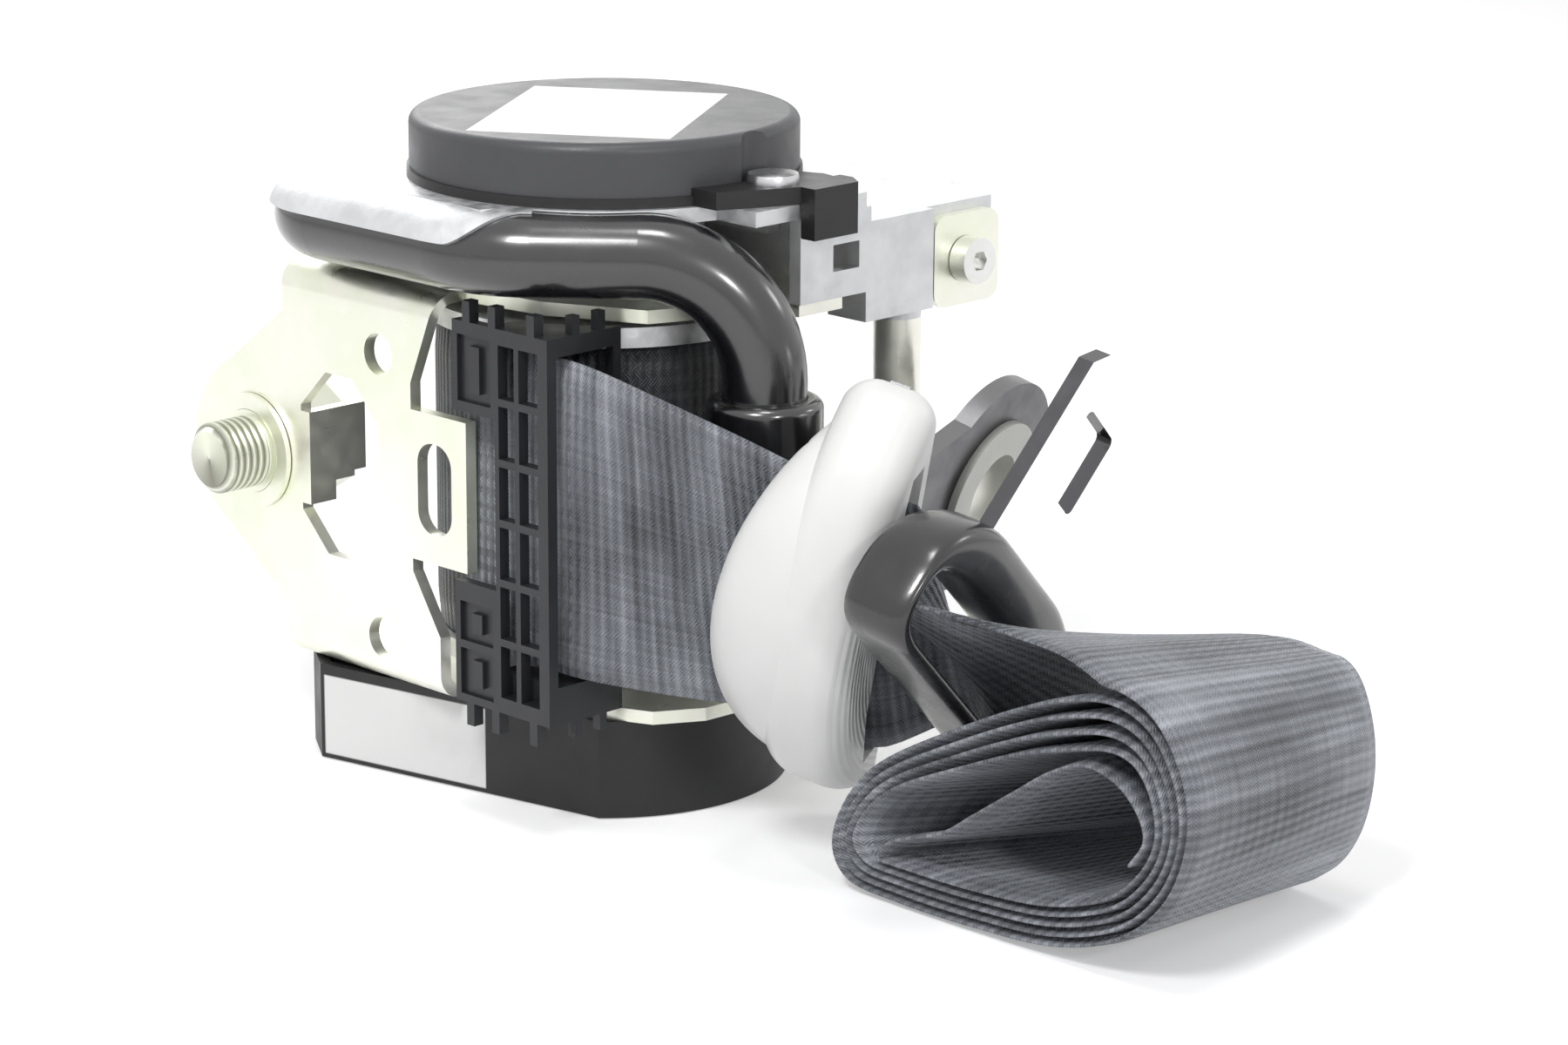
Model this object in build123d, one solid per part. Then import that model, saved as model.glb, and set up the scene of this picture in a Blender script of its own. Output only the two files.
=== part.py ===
from build123d import *
import os
from math import cos, hypot, pi, radians, sin, tan

# Front seat belt: retractor with pretensioner, pillar loop, latch tongue and a loose roll of webbing.
# Millimetres, +Z up along the spool axis. The origin is on that axis, on the surface the retractor
# stands on. The frame's back plate faces -X, the webbing leaves towards -Y, the anchor ear is at +Y.

os.makedirs("parts", exist_ok=True)

# webbing
webbing_width = 47.0
webbing_thickness = 1.2
webbing_clearance = 0.3

# running fits
shaft_clearance = 0.05
seat_clearance = 0.1

# mechanism cover, the lower cap
cover_height = 15.0
cover_radius = 27.8
cover_wall = 1.8
cover_far_y = 40.0
cover_flat_corner = (-30.3, 32.3)
cover_flat_end = (-19.9, -19.4)
cover_corner_fillet = 4.0

# frame, folded from sheet
sheet = 2.0
frame_over_webbing = 15.5
webbing_rise = 1.45
frame_bend = 4.0
back_x = -30.0
back_near_y = 4.3
back_far_y = 40.0
flange_joint_x = -24.0
ear_radius = 14.5
ear_y = 47.5
ear_half_height = 13.2
bearing_hole_radius = 16.0
fixing_hole_radius = 3.2
fixing_hole_y = 17.6
fixing_hole_inset = 9.2
window_y = (18.0, 36.0)
window_below = 13.3
window_above = 15.2
window_corner = 6.0
window_tab_depth = 11.0
lug_half_height = 11.5
lug_reach_y = -2.0

# spool and shaft
spool_flange_radius = 26.8
spool_flange = 3.0
barrel_radius = 12.5
journal_radius = 11.95
wound_radius = 26.0
bush_radius = journal_radius + shaft_clearance
bush_collar_radius = 17.5
bush_collar = 0.5
bar_radius = 4.0
bar_head_radius = 6.0

# locking wheel, inertia disc and pawl
tooth_count = 24
wheel_radius = 19.5
wheel_root = 17.0
wheel_z = (8.8, 13.2)
wheel_phase = 5.0
disc_radius = 21.0
disc_root = 19.8
disc_z = (3.0, 6.0)
pawl_x = 20.0
pawl_y = 19.0
pawl_boss_radius = 4.5
pawl_pin_radius = 2.0
pawl_thickness = 4.0

# vehicle sensor
ball_radius = 4.0
ball_y = 31.4
ball_z = 7.6
lever_x = 10.0
lever_y = 25.6
lever_pin_radius = 1.0
lever_width = 1.8
lever_z = (3.2, 8.6)

# pretensioner
tube_radius = 6.25
tube_bore = 5.0
tube_over_frame = 8.4
tube_route = [(-14, 36), (-32, 36), (-32, -9), (-5, -39)]
tube_bends = [11, 18, 18]
tube_end_under_frame = 17.5
drive_ball_radius = 4.8
drive_ball_count = 7
holder_radius = 8.6
holder_length = 13.5
holder_over_tube_end = 5.5
generator_radius = 7.6
generator_length = 16.0
socket_radius = 5.0
socket_length = 3.0
pinion_radius = 10.6
pinion_pockets = 9
pinion_over_frame = 2.5
pinion_height = 10.0
deck_over_frame = 15.0
deck_thickness = 2.2
block_over_frame = 10.5
block_wall = 2.5
block_front_y = -38.0
lip_under_frame = 5.8
deck_corner = 9.0
tie_rod_x = 28.0
tie_rod_y = -34.0
tie_rod_radius = 3.6
tie_rod_stub = 2.45

# spring side, the upper cap
base_thickness = 1.5
cap_radius = 29.2
base_lip = 0.4
cap_height = 8.0
cap_wall = 1.5
rivet_x = 3.0
rivet_y = -32.5
arbor_radius = 6.5
spring_strip = 0.5
spring_pitch = 1.9
spring_turns = 9

# anchor bolt, 7/16 inch thread
bolt_radius = 5.55
bolt_hole_radius = 6.6
bolt_end_x = -39.0
bolt_chamfer = 1.2
retainer_radius = 9.0
retainer = 0.9
retainer_gap = 0.15
bolt_flange_radius = 11.0
bolt_flange = 2.4
bolt_head_flats = 17.0
bolt_head = 8.5

# webbing guide
guide_x = (-32.0, -17.5)
guide_mouth_y = -22.0
guide_wall = 1.8
guide_rows = 6
guide_pitch = 9.05
guide_window_height = 7.9
guide_columns_y = [(-14.9, -11.5), (-19.9, -15.9)]

# pillar loop
loop_centre = Vector(-8.6, -59.0, 39.0)
loop_eye_dir = Vector(0.903, 0.326, 0.285)
loop_normal = Vector(0.3988, -0.8844, -0.2519)
loop_end = 12.5
loop_thickness = 14.0
loop_round = 5.0
loop_bulge = 17.0
loop_eye_distance = 39.0
loop_eye_radius = 17.0
loop_plate = 3.0
loop_neck = 30.0
loop_bend_distance = 14.0
loop_bend = 11.0
loop_rim = (7.0, 11.5)
loop_rim_radius = 33.0
loop_rim_side = 4.5
loop_rim_turn = 60
loop_slot_margin = 4.0
loop_slot_width = 6.4
loop_slot_lining = 1.2
loop_bolt_radius = 5.9
loop_bush_radius = 11.0
loop_bush_flange = 1.2

# latch tongue
tongue_root = Vector(4.2, -79.2, 47.3)
tongue_across = Vector(0.743, 0.209, -0.639)
tongue_blade_dir = Vector(0.660, -0.060, 0.748)
blade_width = 22.0
blade_length = 31.0
blade_thickness = 2.6
blade_hole = (10.0, 13.0)
grip_end = 2.3
grip_height = 24.0
grip_thickness = 11.0
grip_slot_margin = 1.6
grip_slot_width = 6.0
grip_rim = 3.4

# rolled webbing
roll_near_x = -16.0
roll_near_y = -129.6
roll_far_y = -124.0
roll_far_share = 0.5
roll_far_height = 0.87
run_landing = (7.5, -114.0, 39.9)
run_tilt = -0.115
run_straight = 8.0
run_over = 0.8
run_side = 1.4

# screws
screw_places = [(-22.5, 32.5), (22.0, -12.0), (23.0, 29.0)]
housing_screw_places = [(31.5, -13.0), (21.0, 21.0), (-16.0, 26.0)]
screw_radius = 1.45
screw_head_radius = 2.8
screw_head = 1.8
screw_boss_radius = 3.9

# plate and screw on the casting's outer side
end_plate_x = (31.8, 46.0)
end_plate_height = 14.0
end_plate = 1.6
side_screw_x = 38.4
side_screw_over_frame = 2.0

# levels that follow from the sizes above
frame_height = webbing_width + frame_over_webbing
flange_low = cover_height
flange_low_top = flange_low + sheet
frame_top = flange_low + frame_height
flange_high = frame_top - sheet
ear_z = flange_low + frame_height / 2
window_z = (ear_z - window_below, ear_z + window_above)
web_mid_z = ear_z + webbing_rise
lug_z = (web_mid_z - lug_half_height, web_mid_z + lug_half_height)
web_low_z = web_mid_z - webbing_width / 2
web_high_z = web_mid_z + webbing_width / 2
deck_top = frame_top + deck_over_frame
deck_z = deck_top - deck_thickness
block_top = frame_top + block_over_frame
lip_z = frame_top - lip_under_frame
tube_z = frame_top + tube_over_frame
tube_end_z = frame_top - tube_end_under_frame
holder_top = tube_end_z + holder_over_tube_end
holder_z = (holder_top - holder_length, holder_top)
generator_end_z = holder_z[0] - generator_length
pinion_z = (frame_top + pinion_over_frame, frame_top + pinion_over_frame + pinion_height)
side_screw_z = frame_top + side_screw_over_frame
end_plate_z = (side_screw_z - end_plate_height / 2, side_screw_z + end_plate_height / 2)
base_radius = cap_radius + base_lip
base_top = deck_top + base_thickness
cap_top = base_top + cap_height
loop_slot_length = webbing_width + loop_slot_margin
loop_half_length = loop_slot_length / 2 + loop_end
grip_slot_length = webbing_width + grip_slot_margin
grip_half_length = grip_slot_length / 2 + grip_end
roll_x = (roll_near_x, roll_near_x + webbing_width)


def tube(radius, z0, z1, x=0.0, y=0.0):
    """Solid round bar along Z."""
    return Pos(x, y, (z0 + z1) / 2) * Cylinder(radius, z1 - z0)


def ring(outer, inner, z0, z1, x=0.0, y=0.0):
    """Round bar along Z with a hole through it."""
    return tube(outer, z0, z1, x, y) - tube(inner, z0 - 1, z1 + 1, x, y)


def block(x0, x1, y0, y1, z0, z1):
    """Box between two corners."""
    return Pos((x0 + x1) / 2, (y0 + y1) / 2, (z0 + z1) / 2) * Box(x1 - x0, y1 - y0, z1 - z0)


def outline(points, fillet_radius=0.0):
    """Closed flat face through the points, with rounded corners."""
    face = make_face(Polyline(*points, close=True))
    if fillet_radius > 0:
        face = fillet(face.vertices(), fillet_radius)
    return face


def prism(points, z0, z1, fillet_radius=0.0):
    """Upright prism over an outline in X and Y."""
    return Pos(0, 0, z0) * extrude(outline(points, fillet_radius), z1 - z0)


def side_prism(face, x0, x1):
    """Prism along X over a face drawn in Y and Z."""
    return extrude(Plane.YZ.offset(x0) * face, x1 - x0)


def toothed_disc(count, outer, root, z0, z1, phase=0.0):
    """Disc with saw teeth round its edge."""
    pitch = 2 * pi / count
    points = []
    for i in range(count):
        a = i * pitch + phase
        points.append((outer * cos(a), outer * sin(a)))
        points.append((root * cos(a + 0.15 * pitch), root * sin(a + 0.15 * pitch)))
        points.append((root * cos(a + 0.45 * pitch), root * sin(a + 0.45 * pitch)))
    return prism(points, z0, z1)


def make_cover_face():
    p2 = cover_flat_corner
    p1 = cover_flat_end
    arc = ThreePointArc(p1, (0, -hypot(*p1)), (hypot(*p1), 0))
    rest = Polyline(
        (hypot(*p1), 0),
        (hypot(*p1), cover_far_y - 12),
        (cover_radius - 10, cover_far_y),
        (p2[0] + 5, cover_far_y),
        p2,
        p1,
    )
    return make_face([arc, rest])


def make_mechanism_cover():
    face = make_cover_face()
    shell = extrude(face, cover_height)
    hollow = Pos(0, 0, cover_wall) * extrude(offset(face, -cover_wall), cover_height)
    shell -= hollow
    for x, y in screw_places:
        shell += tube(screw_boss_radius, cover_wall / 2, cover_height, x, y) & extrude(face, cover_height)
    shell += tube(bar_radius + 2, cover_wall / 2, cover_wall + 1)
    shell -= tube(bar_radius + shaft_clearance, cover_wall + 0.01, cover_height)
    for x, y in screw_places:
        shell -= tube(screw_radius + shaft_clearance, -1, cover_height + 1, x, y)
        shell -= tube(screw_head_radius + seat_clearance, -1, 2 * screw_head, x, y)
    return shell


def make_cover_screws():
    screws = []
    for x, y in screw_places:
        screw = tube(screw_radius, 2 * screw_head, flange_low_top, x, y)
        screw += tube(screw_head_radius, screw_head, 2 * screw_head, x, y)
        screw -= Pos(x, y, screw_head) * Box(0.7, 3.6, 1.2) + Pos(x, y, screw_head) * Box(3.6, 0.7, 1.2)
        screws.append(screw)
    return Compound(children=screws)


def make_frame():
    far_x = 48.0
    outer = block(back_x, far_x, -45, 70, flange_low, frame_top)
    bend_edges = outer.edges().filter_by(Axis.Y).group_by(Axis.X)[0]
    outer = fillet(bend_edges, frame_bend)
    inner = block(back_x + sheet, far_x + 5, -50, 75, flange_low_top, flange_high)
    inner = fillet(inner.edges().filter_by(Axis.Y).group_by(Axis.X)[0], frame_bend - sheet)
    channel = outer - inner

    near, far = back_near_y, back_far_y
    notch = near + 6
    back = outline(
        [
            (near, frame_top),
            (far, frame_top),
            (far, flange_low),
            (near, flange_low),
            (near, flange_low + 10),
            (notch, lug_z[0] - 2),
            (notch, lug_z[0]),
            (lug_reach_y, lug_z[0]),
            (lug_reach_y, lug_z[1]),
            (notch, lug_z[1]),
            (notch, lug_z[1] + 4),
        ],
    )
    high, low = ear_z + ear_half_height, ear_z - ear_half_height
    ear = outline([(far - 4, frame_top - 5), (ear_y + 6, high), (ear_y + 6, low), (far - 4, flange_low + 5)])
    back_solid = side_prism(back, back_x - 1, flange_joint_x)
    back_solid += side_prism(ear, back_x - 1, back_x + sheet)
    back_solid += side_prism(Pos(ear_y, ear_z) * Circle(ear_radius), back_x - 1, back_x + sheet)
    back_part = channel & back_solid

    high = outline(
        [
            (flange_joint_x, far), (flange_joint_x, near), (-22, -10), (-15, -25), (-4, -29.5), (1.8, -30.5),
            (4, block_front_y + 1), (13, block_front_y + 1), (16.5, -30), (29, -30), (35, -22), (36, far),
        ]
    )
    low = outline(
        [
            (flange_joint_x, far), (flange_joint_x, near), (-22, -10), (-15, -26), (-8, -30), (13, -31),
            (25, -38.5), (33, -38.5), (36, -33), (36, far),
        ]
    )
    high_part = channel & (Pos(0, 0, flange_high) * extrude(high, sheet))
    low_part = channel & (Pos(0, 0, flange_low) * extrude(low, sheet))
    frame = back_part + high_part + low_part

    y0, y1 = window_y
    z0, z1 = window_z
    c = window_corner
    window = outline(
        [(y0 + c, z0), (y1 - c, z0), (y1, z0 + c), (y1, z1 - c), (y1 - c, z1), (y0 + c, z1), (y0, z1 - c), (y0, z0 + c)]
    )
    frame -= side_prism(window, back_x - 2, back_x + sheet + 1)
    tab = block(back_x, back_x + window_tab_depth, y1 - sheet, y1, z0 + c + 1, z1 - c - 1)
    tab -= block(back_x + sheet + 3, back_x + window_tab_depth + 1, y1 - 3, y1 + 1, z0 + c, z0 + c + 5)
    frame += tab
    frame += block(back_x, back_x + sheet, y1 - sheet, y1 + 1, z0 + c + 1, z1 - c - 1)
    slot_y = (lug_reach_y + notch) / 2 + 1
    slot = Pos(slot_y, sum(lug_z) / 2) * RectangleRounded(7.6, 14.0, 3.4)
    frame -= side_prism(slot, back_x - 2, back_x + sheet + 1)
    for z in (flange_low + fixing_hole_inset - sheet, frame_top - fixing_hole_inset - sheet):
        hole = Pos(fixing_hole_y, z) * Circle(fixing_hole_radius)
        frame -= side_prism(hole, back_x - 2, back_x + sheet + 1)
    frame -= side_prism(Pos(ear_y, ear_z) * Circle(bolt_hole_radius), back_x - 2, back_x + sheet + 1)
    frame -= tube(bearing_hole_radius, flange_low - 1, frame_top + 1)
    frame -= tube(tie_rod_stub + shaft_clearance, flange_low - 1, flange_low_top + 1, tie_rod_x, tie_rod_y)
    frame -= tube(pawl_pin_radius + shaft_clearance / 2, flange_low - 1, flange_low_top + 1, pawl_x, pawl_y)
    for x, y in screw_places:
        frame -= tube(screw_radius + shaft_clearance, flange_low - 1, flange_low_top + 1, x, y)
    for x, y in housing_screw_places:
        frame -= tube(screw_radius + shaft_clearance, flange_high - 1, frame_top + 1, x, y)
    return frame


def make_bush(z0, z1, collar_z0, collar_z1):
    bush = tube(bearing_hole_radius - shaft_clearance, z0, z1)
    bush += tube(bush_collar_radius, collar_z0, collar_z1)
    return bush - tube(bush_radius, z0 - 5, z1 + 5)


def make_spool():
    low = web_low_z - webbing_clearance
    high = web_high_z + webbing_clearance
    spool = tube(barrel_radius, low - spool_flange, high + spool_flange)
    spool += tube(spool_flange_radius, low - spool_flange, low)
    spool += tube(spool_flange_radius, high, high + spool_flange)
    spool += tube(journal_radius + 2, flange_low_top + bush_collar + webbing_clearance, low - spool_flange)
    spool += tube(journal_radius, wheel_z[1] + 0.2, low - spool_flange)
    spool += tube(journal_radius, high + spool_flange, frame_top - 0.2)
    spool -= tube(bar_radius + shaft_clearance, 0, cap_top)
    spool -= block(-barrel_radius - 1, barrel_radius + 1, -1.6, 1.6, low + 2, high - 2)
    return spool


def make_torsion_bar():
    bar = tube(bar_radius, cover_wall + 0.3, base_top)
    bar += tube(bar_head_radius, disc_z[1] + 0.4, wheel_z[1])
    bar += tube(bar_radius - 1, base_top, cap_top - cap_wall - 1.2)
    return bar


def make_wound_webbing():
    return ring(wound_radius, barrel_radius + 0.1, web_low_z, web_high_z)


def make_locking_wheel():
    wheel = toothed_disc(tooth_count, wheel_radius, wheel_root, *wheel_z, radians(wheel_phase))
    return wheel - tube(bar_head_radius + shaft_clearance, 0, 30)


def make_inertia_disc():
    disc = toothed_disc(tooth_count, disc_radius, disc_root, *disc_z)
    disc += tube(bar_radius + 3, disc_z[1] - 1, disc_z[1] + 0.3)
    for i in range(6):
        a = i * pi / 3
        disc -= tube(3.4, 0, 30, 13 * cos(a), 13 * sin(a))
    return disc - tube(bar_radius + shaft_clearance, 0, 30)


def make_lock_pawl():
    z0 = (sum(wheel_z) - pawl_thickness) / 2
    z1 = z0 + pawl_thickness
    arm = prism(
        [(pawl_x, pawl_y - 4), (pawl_x, pawl_y + 4), (8.5, 23.4), (4.6, 21.8), (5.0, 19.9), (6.5, 19.6), (9.0, 20.4)],
        z0,
        z1,
    )
    pawl = arm + tube(pawl_boss_radius, z0, z1, pawl_x, pawl_y)
    return pawl - tube(pawl_pin_radius + shaft_clearance, 0, 30, pawl_x, pawl_y)


def make_pawl_pin():
    z0 = (sum(wheel_z) - pawl_thickness) / 2 - 0.2
    pin = tube(pawl_pin_radius, z0 - 1.2, flange_low_top, pawl_x, pawl_y)
    return pin + tube(pawl_pin_radius + 1.4, z0 - 1.3, z0, pawl_x, pawl_y)


def make_pawl_spring():
    wire = 0.45
    z = (wheel_z[1] + flange_low) / 2 + 0.1
    coil = ring(3.0 + wire, 3.0 - wire, z - wire, z + wire, pawl_x, pawl_y)
    return coil + block(pawl_x + 3.0 - wire, pawl_x + 3.0 + wire, pawl_y, pawl_y + 6, z - wire, z + wire)


def make_sensor_housing():
    back_y = ball_y + ball_radius + 0.3
    cradle = block(-8, 8, ball_y - 4.4, back_y + 1.8, cover_wall + 0.3, ball_z + ball_radius + 2)
    cradle -= block(-5.4, 5.4, ball_y - 10, back_y, ball_z - ball_radius - 0.3, 40)
    cradle += block(8, lever_x + 2.4, lever_y + 2.2, lever_y + 5, cover_wall + 0.3, lever_z[1])
    cradle += tube(2.2, cover_wall + 0.3, lever_z[0] - 0.3, lever_x, lever_y)
    cradle += block(lever_x - 1, lever_x + 1, lever_y, lever_y + 3, cover_wall + 0.3, lever_z[0] - 0.3)
    cradle += tube(lever_pin_radius, lever_z[0] - 1, lever_z[1] + 1, lever_x, lever_y)
    return cradle


def make_sensor_ball():
    return Pos(0, ball_y, ball_z) * Sphere(ball_radius)


def make_sensor_lever():
    half = lever_width / 2
    arm = prism(
        [
            (lever_x, lever_y - half), (lever_x, lever_y + half), (-6, lever_y + half), (-9.5, lever_y + half - 0.6),
            (-9.5, lever_y - half - 1.4), (-8.0, lever_y - half - 1.4), (-6.5, lever_y - half),
        ],
        *lever_z,
    )
    lever = arm + tube(1.9, *lever_z, lever_x, lever_y)
    return lever - tube(lever_pin_radius + shaft_clearance, 0, 30, lever_x, lever_y)


def make_tie_rod():
    rod = tube(tie_rod_radius, flange_low_top, lip_z, tie_rod_x, tie_rod_y)
    rod += tube(tie_rod_stub, flange_low, flange_low_top, tie_rod_x, tie_rod_y)
    rod -= ring(tie_rod_radius + 1, tie_rod_radius - 0.6, flange_low_top + 2, flange_low_top + 3, tie_rod_x, tie_rod_y)
    return rod


def tube_path():
    points = [(x, y, tube_z) for x, y in tube_route]
    points.append((tube_route[-1][0], tube_route[-1][1], tube_end_z))
    return FilletPolyline(*points, radius=tube_bends)


def swept(radius):
    start = Vector(tube_route[0][0], tube_route[0][1], tube_z)
    return sweep(Plane(origin=start, z_dir=(-1, 0, 0)) * Circle(radius), path=tube_path())


def make_pretensioner_tube():
    return swept(tube_radius) - swept(tube_bore)


def make_drive_balls():
    path = tube_path()
    balls = []
    for i in range(drive_ball_count):
        along = (2 * i + 1) * (drive_ball_radius + 0.05) / path.length
        balls.append(Pos(*(path @ along)) * Sphere(drive_ball_radius))
    return Compound(children=balls)


def make_generator_holder():
    x, y = tube_route[-1]
    holder = tube(holder_radius, *holder_z, x, y)
    holder = fillet(holder.edges().group_by(Axis.Z)[-1], 1.5)
    holder -= tube(tube_radius + seat_clearance, tube_end_z, 90, x, y)
    holder -= tube(tube_bore, 0, tube_end_z + 1, x, y)
    return holder


def make_gas_generator():
    x, y = tube_route[-1]
    body = tube(generator_radius, generator_end_z, holder_z[0], x, y)
    body = fillet(body.edges().group_by(Axis.Z)[0], 1.6)
    body += tube(tube_bore - seat_clearance, holder_z[0], tube_end_z - 0.5, x, y)
    body += tube(socket_radius, generator_end_z - socket_length, generator_end_z, x, y)
    body -= tube(socket_radius - 1.2, generator_end_z - socket_length - 1, generator_end_z + 1.5, x, y)
    return body


def make_pinion():
    z0, z1 = pinion_z
    gear = tube(pinion_radius, z0, z1)
    for i in range(pinion_pockets):
        a = 2 * pi * i / pinion_pockets
        distance = pinion_radius + 1.6
        gear -= tube(drive_ball_radius - 1.6, z0 - 1, z1 + 1, distance * cos(a), distance * sin(a))
    gear += tube(bar_radius + 2.5, frame_top + 0.1, z0)
    return gear - tube(bar_radius + shaft_clearance, 0, cap_top)


def make_pretensioner_housing():
    f = block_front_y
    left = tube_route[1][0] - tube_radius - 0.6
    deck = tube(base_radius + 1, deck_z, deck_top)
    deck += prism([(left, -7), (left, 42), (-8, 42), (-8, 20), (-14, -16)], deck_z, deck_top, deck_corner)
    deck += prism([(-6, f), (17, f), (17, 4), (-6, 4)], deck_z, deck_top)
    rim = prism([(left, -7), (left, 42), (-20, 42), (-20, -7)], tube_z + 2.4, deck_top, deck_corner)
    wall = block(3.2, 18, f, f + 2.2, frame_top, deck_z)
    wall -= block(10, 15.5, f - 1, f + 4, frame_top + 4, frame_top + 8)
    plan = [(17, f), (31.5, f), (31.5, f + 1.7), (46, f + 1.7), (54, -14), (46, 6), (17, 6)]
    wing = prism(plan, frame_top, block_top)
    wing -= Pos(0, 0, frame_top - 1) * extrude(offset(outline(plan), -block_wall), block_top - frame_top - block_wall + 1)
    wing += prism([(17, f), (17, f + 7.8), (33.6, f + 7.8), (33.6, f + 1.7), (31.5, f + 1.7), (31.5, f)], lip_z + 1.2, frame_top)
    wing += tube(tie_rod_radius, lip_z, frame_top, tie_rod_x, tie_rod_y)
    wing += block(14, 19, -20, 4, block_top - 4, deck_top)
    race = ring(pinion_radius + 4.4, pinion_radius + 0.6, frame_top, deck_z)
    chute = prism([(-13.5, 28.5), (-13.5, 42), (14, 42), (14, 8), (-13.5, 20)], frame_top + 1, deck_z)
    chute -= tube(pinion_radius + 0.6, 0, 200)
    housing = deck + rim + wall + wing + race + chute
    for x, y in housing_screw_places:
        boss_top = deck_z if hypot(x, y) < base_radius + screw_boss_radius else block_top - 1
        housing += tube(screw_boss_radius, frame_top, boss_top, x, y)
        housing -= tube(screw_radius + shaft_clearance, frame_top - 1, frame_top + 7.5, x, y)
    x0, y0 = tube_route[0]
    ball_way = drive_ball_radius + 0.3
    housing -= Pos((x0 + 6) / 2, y0, tube_z) * Rot(0, 90, 0) * Cylinder(ball_way, 6 - x0 + 1)
    housing -= Pos(5, (y0 + 8) / 2, tube_z) * Rot(90, 0, 0) * Cylinder(ball_way, y0 - 8)
    housing -= Pos(5, y0, tube_z) * Sphere(ball_way)
    housing -= swept(tube_radius + seat_clearance)
    housing -= tube(bar_radius + 0.5, 0, 200)
    housing -= tube(screw_radius + shaft_clearance, deck_z - 1, deck_top + 1, rivet_x, rivet_y)
    housing -= side_screw(screw_radius + shaft_clearance, 0)
    return housing


def make_housing_screws():
    screws = []
    for x, y in housing_screw_places:
        screw = tube(screw_radius, flange_high, frame_top + 7, x, y)
        screw += tube(screw_head_radius, flange_high - screw_head, flange_high, x, y)
        screws.append(screw)
    return Compound(children=screws)


def side_screw(radius, head_radius):
    """Bar along Y at the side screw's place, from inside the casting out to its head."""
    y_face = block_front_y + 1.7
    shank = Pos(side_screw_x, y_face + 1.2, side_screw_z) * Rot(90, 0, 0) * Cylinder(radius, 6.4)
    if head_radius > 0:
        head = Pos(side_screw_x, y_face - end_plate - 1.7, side_screw_z) * Rot(90, 0, 0) * Cylinder(head_radius, 3.0)
        shank += head
    return shank


def make_end_bracket():
    y1 = block_front_y + 1.65
    x0, x1 = end_plate_x
    z0, z1 = end_plate_z
    face = Pos((x0 + x1) / 2, (z0 + z1) / 2) * RectangleRounded(x1 - x0, z1 - z0, 2.5)
    plate = extrude(Plane.XZ.offset(-y1) * face, end_plate)
    return plate - side_screw(screw_radius + shaft_clearance, 0)


def make_socket_screw():
    screw = side_screw(screw_radius, 3.5)
    y = block_front_y + 1.7 - end_plate - 3.2
    key = Plane.XZ.offset(-y + 1) * Pos(side_screw_x, side_screw_z) * RegularPolygon(1.6, 6)
    return screw - extrude(key, -3)


def make_spring_base():
    base = tube(base_radius, deck_top, base_top)
    lug = prism([(-9, -26), (-9, -33), (-1, -36.5), (4, -38.6), (12, -38.6), (13, -33), (10, -26)], deck_top, deck_top + 2.6)
    hook = prism([(3, -38.3), (3, -41), (12, -41), (14, -38), (14, -35.4), (12.2, -35.4), (12.2, -38.3)], deck_top - 5.0, deck_top + 2.6)
    hook = hook - prism([(-20, -38.2), (-20, -20), (20, -20), (20, -38.2)], 0, deck_top)
    base = base + lug + hook
    base -= tube(bar_radius + 0.5, 0, 200)
    cap_seat = tube(cap_radius + seat_clearance, base_top, 200)
    return base - cap_seat - tube(screw_radius + shaft_clearance, 0, 200, rivet_x, rivet_y)


def make_cover_rivet():
    top = deck_top + 2.6
    dome = Pos(rivet_x, rivet_y, top) * Sphere(3.9)
    dome = dome & tube(5, top, top + 1.3, rivet_x, rivet_y)
    return dome + tube(screw_radius, deck_z, top, rivet_x, rivet_y)


def make_spring_cover():
    cap = tube(cap_radius, base_top, cap_top)
    cap = fillet(cap.edges().group_by(Axis.Z)[-1], 1.6)
    cap -= tube(cap_radius - cap_wall, base_top - 1, cap_top - cap_wall)
    cap -= tube(4.6, 0, 200, rivet_x, rivet_y)
    return cap


def make_spring_arbor():
    arbor = tube(arbor_radius, base_top + 0.4, cap_top - cap_wall - 1.0)
    return arbor - tube(bar_radius - 1 + shaft_clearance, 0, 200) - block(1, 20, -0.4, 0.4, base_top + 2, 200)


def make_power_spring():
    arcs = []
    inner = []
    radius = arbor_radius + webbing_clearance + spring_strip
    x = 0.0
    side = 1
    step = spring_pitch / 2
    for i in range(2 * spring_turns):
        if radius + abs(x) > cap_radius - cap_wall - 0.8:
            break
        arcs.append((x, radius, side))
        radius += step
        x -= side * step
        side = -side
    outer_lines = []
    inner_lines = []
    for x, r, side in arcs:
        outer_lines.append(ThreePointArc((x - side * r, 0), (x, side * r), (x + side * r, 0)))
        q = r - spring_strip
        inner_lines.append(ThreePointArc((x - side * q, 0), (x, side * q), (x + side * q, 0)))
    ends = [
        Line(outer_lines[0] @ 0, inner_lines[0] @ 0),
        Line(outer_lines[-1] @ 1, inner_lines[-1] @ 1),
    ]
    face = make_face(outer_lines + inner_lines + ends)
    return Pos(0, 0, base_top + 0.6) * extrude(face, cap_height - cap_wall - 1.6)


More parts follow.
